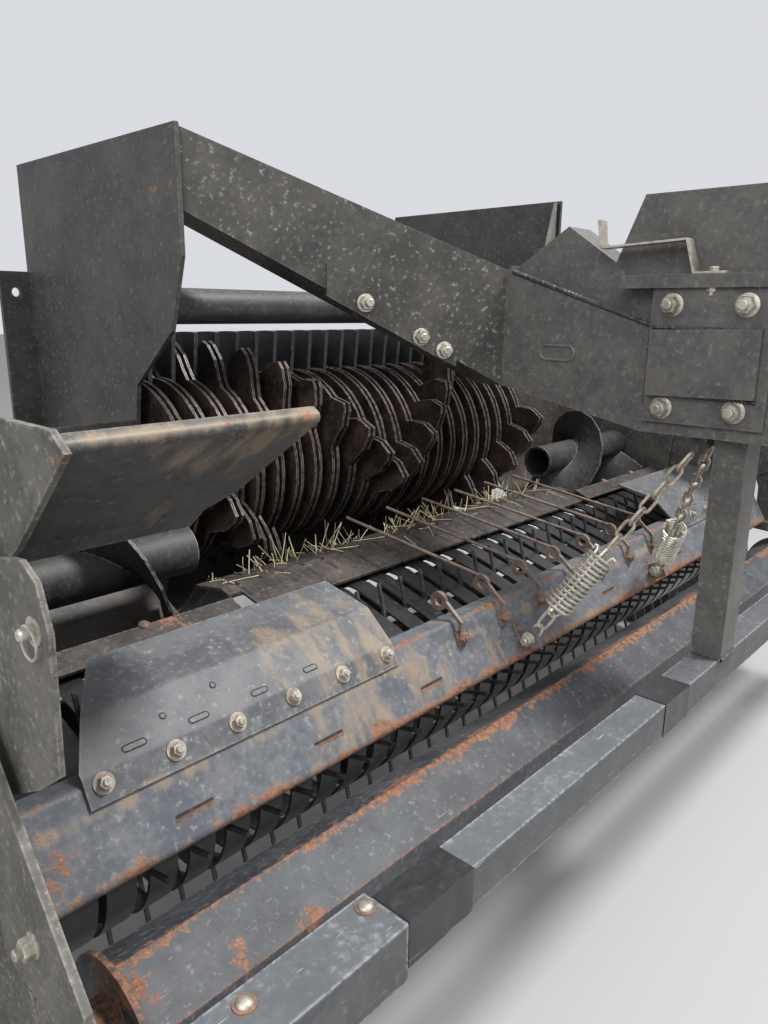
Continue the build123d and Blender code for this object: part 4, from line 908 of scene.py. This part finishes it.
def stripper_bands():
    """Curved bands between the rows of tines, with their two rails."""
    piece = Piece()
    half_span = BAND_COUNT * TINE_PITCH / 2
    spans = []
    for index in range(BAND_COUNT):
        middle = (index + 0.5) * TINE_PITCH - half_span
        spans.append((middle - BAND_WIDTH / 2, middle + BAND_WIDTH / 2))
    spans += [END_BAND_X, (-END_BAND_X[1], -END_BAND_X[0])]
    path = band_path()
    last = len(path) - 1
    for left, right in spans:
        rings = []
        for index, (y, z) in enumerate(path):
            before, after = path[max(index - 1, 0)], path[min(index + 1, last)]
            run = Vector((0.0, after[0] - before[0], after[1] - before[1])).normalized()
            lift = Vector((0.0, run.z, -run.y)) * BAND_T
            start = len(piece.points)
            inner = Vector((0.0, y, z))
            piece.points += [inner + Vector((left, 0, 0)), inner + lift + Vector((left, 0, 0)),
                             inner + lift + Vector((right, 0, 0)), inner + Vector((right, 0, 0))]
            rings.append([start, start + 1, start + 2, start + 3])
        piece.skin(rings)
    section = ((-RAIL / 2, -RAIL / 2), (RAIL / 2, -RAIL / 2), (RAIL / 2, RAIL / 2), (-RAIL / 2, RAIL / 2))
    for y, z in (TOP_RAIL, LOW_RAIL):
        piece.slab((-RAIL_HALF_LENGTH, y, z), (1, 0, 0), (0, 1, 0), section, 2 * RAIL_HALF_LENGTH)
    item = piece.done("reel_bands", "pickup", "bands")
    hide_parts("stripper_bands")


# Chains and springs: distances along a chain are from the eye in the guard's ear to the neck's hook
HOOK = (-1.180, 0.041)
CHAINS = {
    # eye, hook and number of links over the spring
    "right": ((EAR_X["right"], *EAR_PIN), (-0.034, *HOOK), 7),
    "left": ((EAR_X["left"], *EAR_PIN), (0.034, *HOOK), 9),
}
LINK = 0.040
LINK_PITCH = 0.0284
LINK_WIDTH = 0.022
WIRE_R = 0.0029
FIRST_LINK = 0.023
SPRING_START = 0.0634
HOOK_SEAT = 0.0032
LINK_GAP = 0.0004
SHACKLE_MIDDLE = 0.014
SHACKLE_HALF_LENGTH = 0.0165
SHACKLE_HALF_WIDTH = 0.0085
COIL_R = 0.0212
COIL_WIRE_R = 0.0027
COIL_PITCH = 0.0092
COIL_STEPS = 12
COIL_INSET = 0.006
PULL_WIRE_R = 0.0028
PULL_NOSE = ((0.0, 0.001), (0.004, 0.008), (0.020, 0.0125))
PULL_CATCH = ((0.0, 0.0135), (0.0045, 0.0165), (0.0025, 0.0215))


def link_path(centre, along, across):
    """Middle line of an oval link."""
    half_run = LINK / 2 - LINK_WIDTH / 2
    bow = LINK_WIDTH / 2 - WIRE_R
    path = []
    for sign in (1, -1):
        for step in range(9):
            angle = math.radians(-90 + 180 * step / 8)
            path.append(centre + along * (sign * (half_run + bow * math.cos(angle)))
                        + across * (sign * bow * math.sin(angle)))
    return path


def chain_run(name, eye, hook, link_count):
    """Chain from the neck's hook, spring and first link down to the guard's ear."""
    eye, hook = Vector(eye), Vector(hook)
    along = (hook - eye).normalized()
    across = along.cross(Vector((1, 0, 0))).normalized()
    third = along.cross(across)
    run = (hook - eye).length
    spring_end = run - HOOK_SEAT - (LINK + (link_count - 1) * LINK_PITCH) - LINK_GAP
    dice = random.Random(len(name) * 7)
    chain = Piece()
    starts = [FIRST_LINK] + [spring_end + LINK_GAP + number * LINK_PITCH for number in range(link_count)]
    for number, start in enumerate(starts):
        lean = math.radians(dice.uniform(-9, 9))
        wide = third if number % 2 else across
        other = across if number % 2 else third
        wide = wide * math.cos(lean) + other * math.sin(lean)
        chain.tube(link_path(eye + along * (start + LINK / 2), along, wide), WIRE_R, 8, closed=True)
    shackle = [eye + across * (SHACKLE_HALF_WIDTH * math.cos(a))
               + along * (SHACKLE_MIDDLE + SHACKLE_HALF_LENGTH * math.sin(a))
               for a in (math.radians(d) for d in range(-90, 270, 30))]
    chain.tube(shackle, WIRE_R, 8, closed=True)
    spring = Piece()
    length = spring_end - SPRING_START
    steps = round(length / COIL_PITCH) * COIL_STEPS
    coil = []
    for step in range(steps + 1):
        angle = 2 * math.pi * step / COIL_STEPS
        lift = COIL_INSET + (length - 2 * COIL_INSET) * step / steps
        coil.append(eye + along * (SPRING_START + lift) + across * (COIL_R * math.cos(angle))
                    + third * (COIL_R * math.sin(angle)))
    spring.tube(coil, COIL_WIRE_R, 7)
    for wide, bottom, top in ((across, -0.010, length - 0.004), (third, length + 0.010, 0.004)):
        for sign in (-1, 1):
            turned = 1 if top > bottom else -1
            path = [eye + along * (SPRING_START + end + turned * reach) + wide * (sign * out)
                    for end, bends in ((bottom, PULL_NOSE), (top, PULL_CATCH)) for reach, out in bends]
            spring.tube(path, PULL_WIRE_R, 8)
    chain_piece = chain.done(f"chain_links_{name}", None, "chain")
    spring_piece = spring.done(f"coil_spring_{name}", None, "spring")
    for item, node_name in ((chain_piece, f"chain_{name}"), (spring_piece, f"chain_spring_{name}")):
        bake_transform(item)
        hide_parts(node_name)


# Straw
ROTOR_AXIS = (-0.314, -0.060)
ROTOR_REACH = 0.256  # the stars' radius with a gap
STALK_COUNT = 220
STRAW_X = (-0.53, 0.50)
STANDING_Y = (-0.590, -0.500)
LYING_Y = (-0.63, -0.53)
FLOOR_TOP = -0.245
SHORTEST = 0.006


def stalk_path(place, normal, flat, length, slope, bend):
    """Points of a stalk that rises from its place and bends to one side."""
    side = normal.cross(flat)
    return [place + (normal * 0.0012 + flat * (math.cos(slope) * length * t)
                     + side * (bend * length * t * t) + normal * (math.sin(slope) * length * t))
            for t in (0.0, 0.33, 0.66, 1.0)]


def meets_rotor(path):
    """Whether a point of the path is within the rotor's reach."""
    return any(math.hypot(point.y - ROTOR_AXIS[0], point.z - ROTOR_AXIS[1]) < ROTOR_REACH for point in path)


def straw():
    """Loose stalks on the floor and caught in its slots in front of the rotor."""
    dice = random.Random(23)
    piece = Piece()
    for index in range(STALK_COUNT):
        standing = index % 5 != 0
        x = dice.uniform(*STRAW_X)
        y = dice.uniform(*(STANDING_Y if standing else LYING_Y))
        place, normal = seat("feed_floor", (x, y, ABOVE_FLOOR), (0, 0, -1))
        if place is None:
            place, normal = Vector((x, y, FLOOR_TOP)), Vector((0, 0, 1))
        heading = dice.uniform(0, 2 * math.pi)
        flat = Vector((math.cos(heading), math.sin(heading), 0.0))
        flat = (flat - normal * flat.dot(normal)).normalized()
        length = dice.uniform(0.025, 0.075) if standing else dice.uniform(0.02, 0.07)
        slope = dice.uniform(0.5, 1.3) if standing else 0.02
        bend = dice.uniform(-0.25, 0.25)
        radius = dice.uniform(0.0005, 0.0012)
        path = stalk_path(place, normal, flat, length, slope, bend)
        while length > SHORTEST and meets_rotor(path):
            length *= 0.85
            path = stalk_path(place, normal, flat, length, slope, bend)
        if not meets_rotor(path):
            piece.tube(path, radius, 4)
    piece.done("straw", "frame", "straw")


joint_bolts()
arm_bolts()
deflector_fittings()
guard_fittings()
bar_fittings()
floor_fittings()
side_fittings()
slot_ring()
neck_handle()
neck_welds()
stripper_bands()
for chain_name, (eye_point, hook_point, links) in CHAINS.items():
    chain_run(chain_name, eye_point, hook_point, links)
straw()

# Floor and light
FLOOR_Z = -0.752
FLOOR_COLOUR = (0.36, 0.355, 0.345, 1)
SKY_COLOUR = (0.93, 0.95, 1.0, 1)
SKY_STRENGTH = 0.75


def add_stage():
    """Plain pale floor that reaches the horizon."""
    bpy.ops.mesh.primitive_plane_add(size=60, location=(0, 0, FLOOR_Z))
    floor = bpy.context.object
    floor.name = "stage_floor"
    material = bpy.data.materials.new("stage_floor")
    material.use_nodes = True
    shader = material.node_tree.nodes["Principled BSDF"]
    shader.inputs["Base Color"].default_value = FLOOR_COLOUR
    shader.inputs["Roughness"].default_value = 0.9
    floor.data.materials.append(material)


def add_light(name, location, target, size, power):
    """Soft area lamp aimed at a point."""
    data = bpy.data.lights.new(name, "AREA")
    data.shape = "DISK"
    data.size = size
    data.energy = power
    lamp = bpy.data.objects.new(name, data)
    bpy.context.scene.collection.objects.link(lamp)
    lamp.location = location
    aim = Vector(target) - Vector(location)
    lamp.rotation_euler = aim.to_track_quat("-Z", "Y").to_euler()


add_stage()
add_light("key", (1.4, -3.0, 4.9), (-0.1, -0.9, -0.2), 1.3, 470)
add_light("fill", (-4.0, -2.5, 2.6), (0, -0.8, 0), 3.0, 130)
world = bpy.data.worlds.new("world")
world.use_nodes = True
background = world.node_tree.nodes["Background"]
background.inputs["Color"].default_value = SKY_COLOUR
background.inputs["Strength"].default_value = SKY_STRENGTH
bpy.context.scene.world = world
bpy.context.scene.view_settings.view_transform = "Standard"
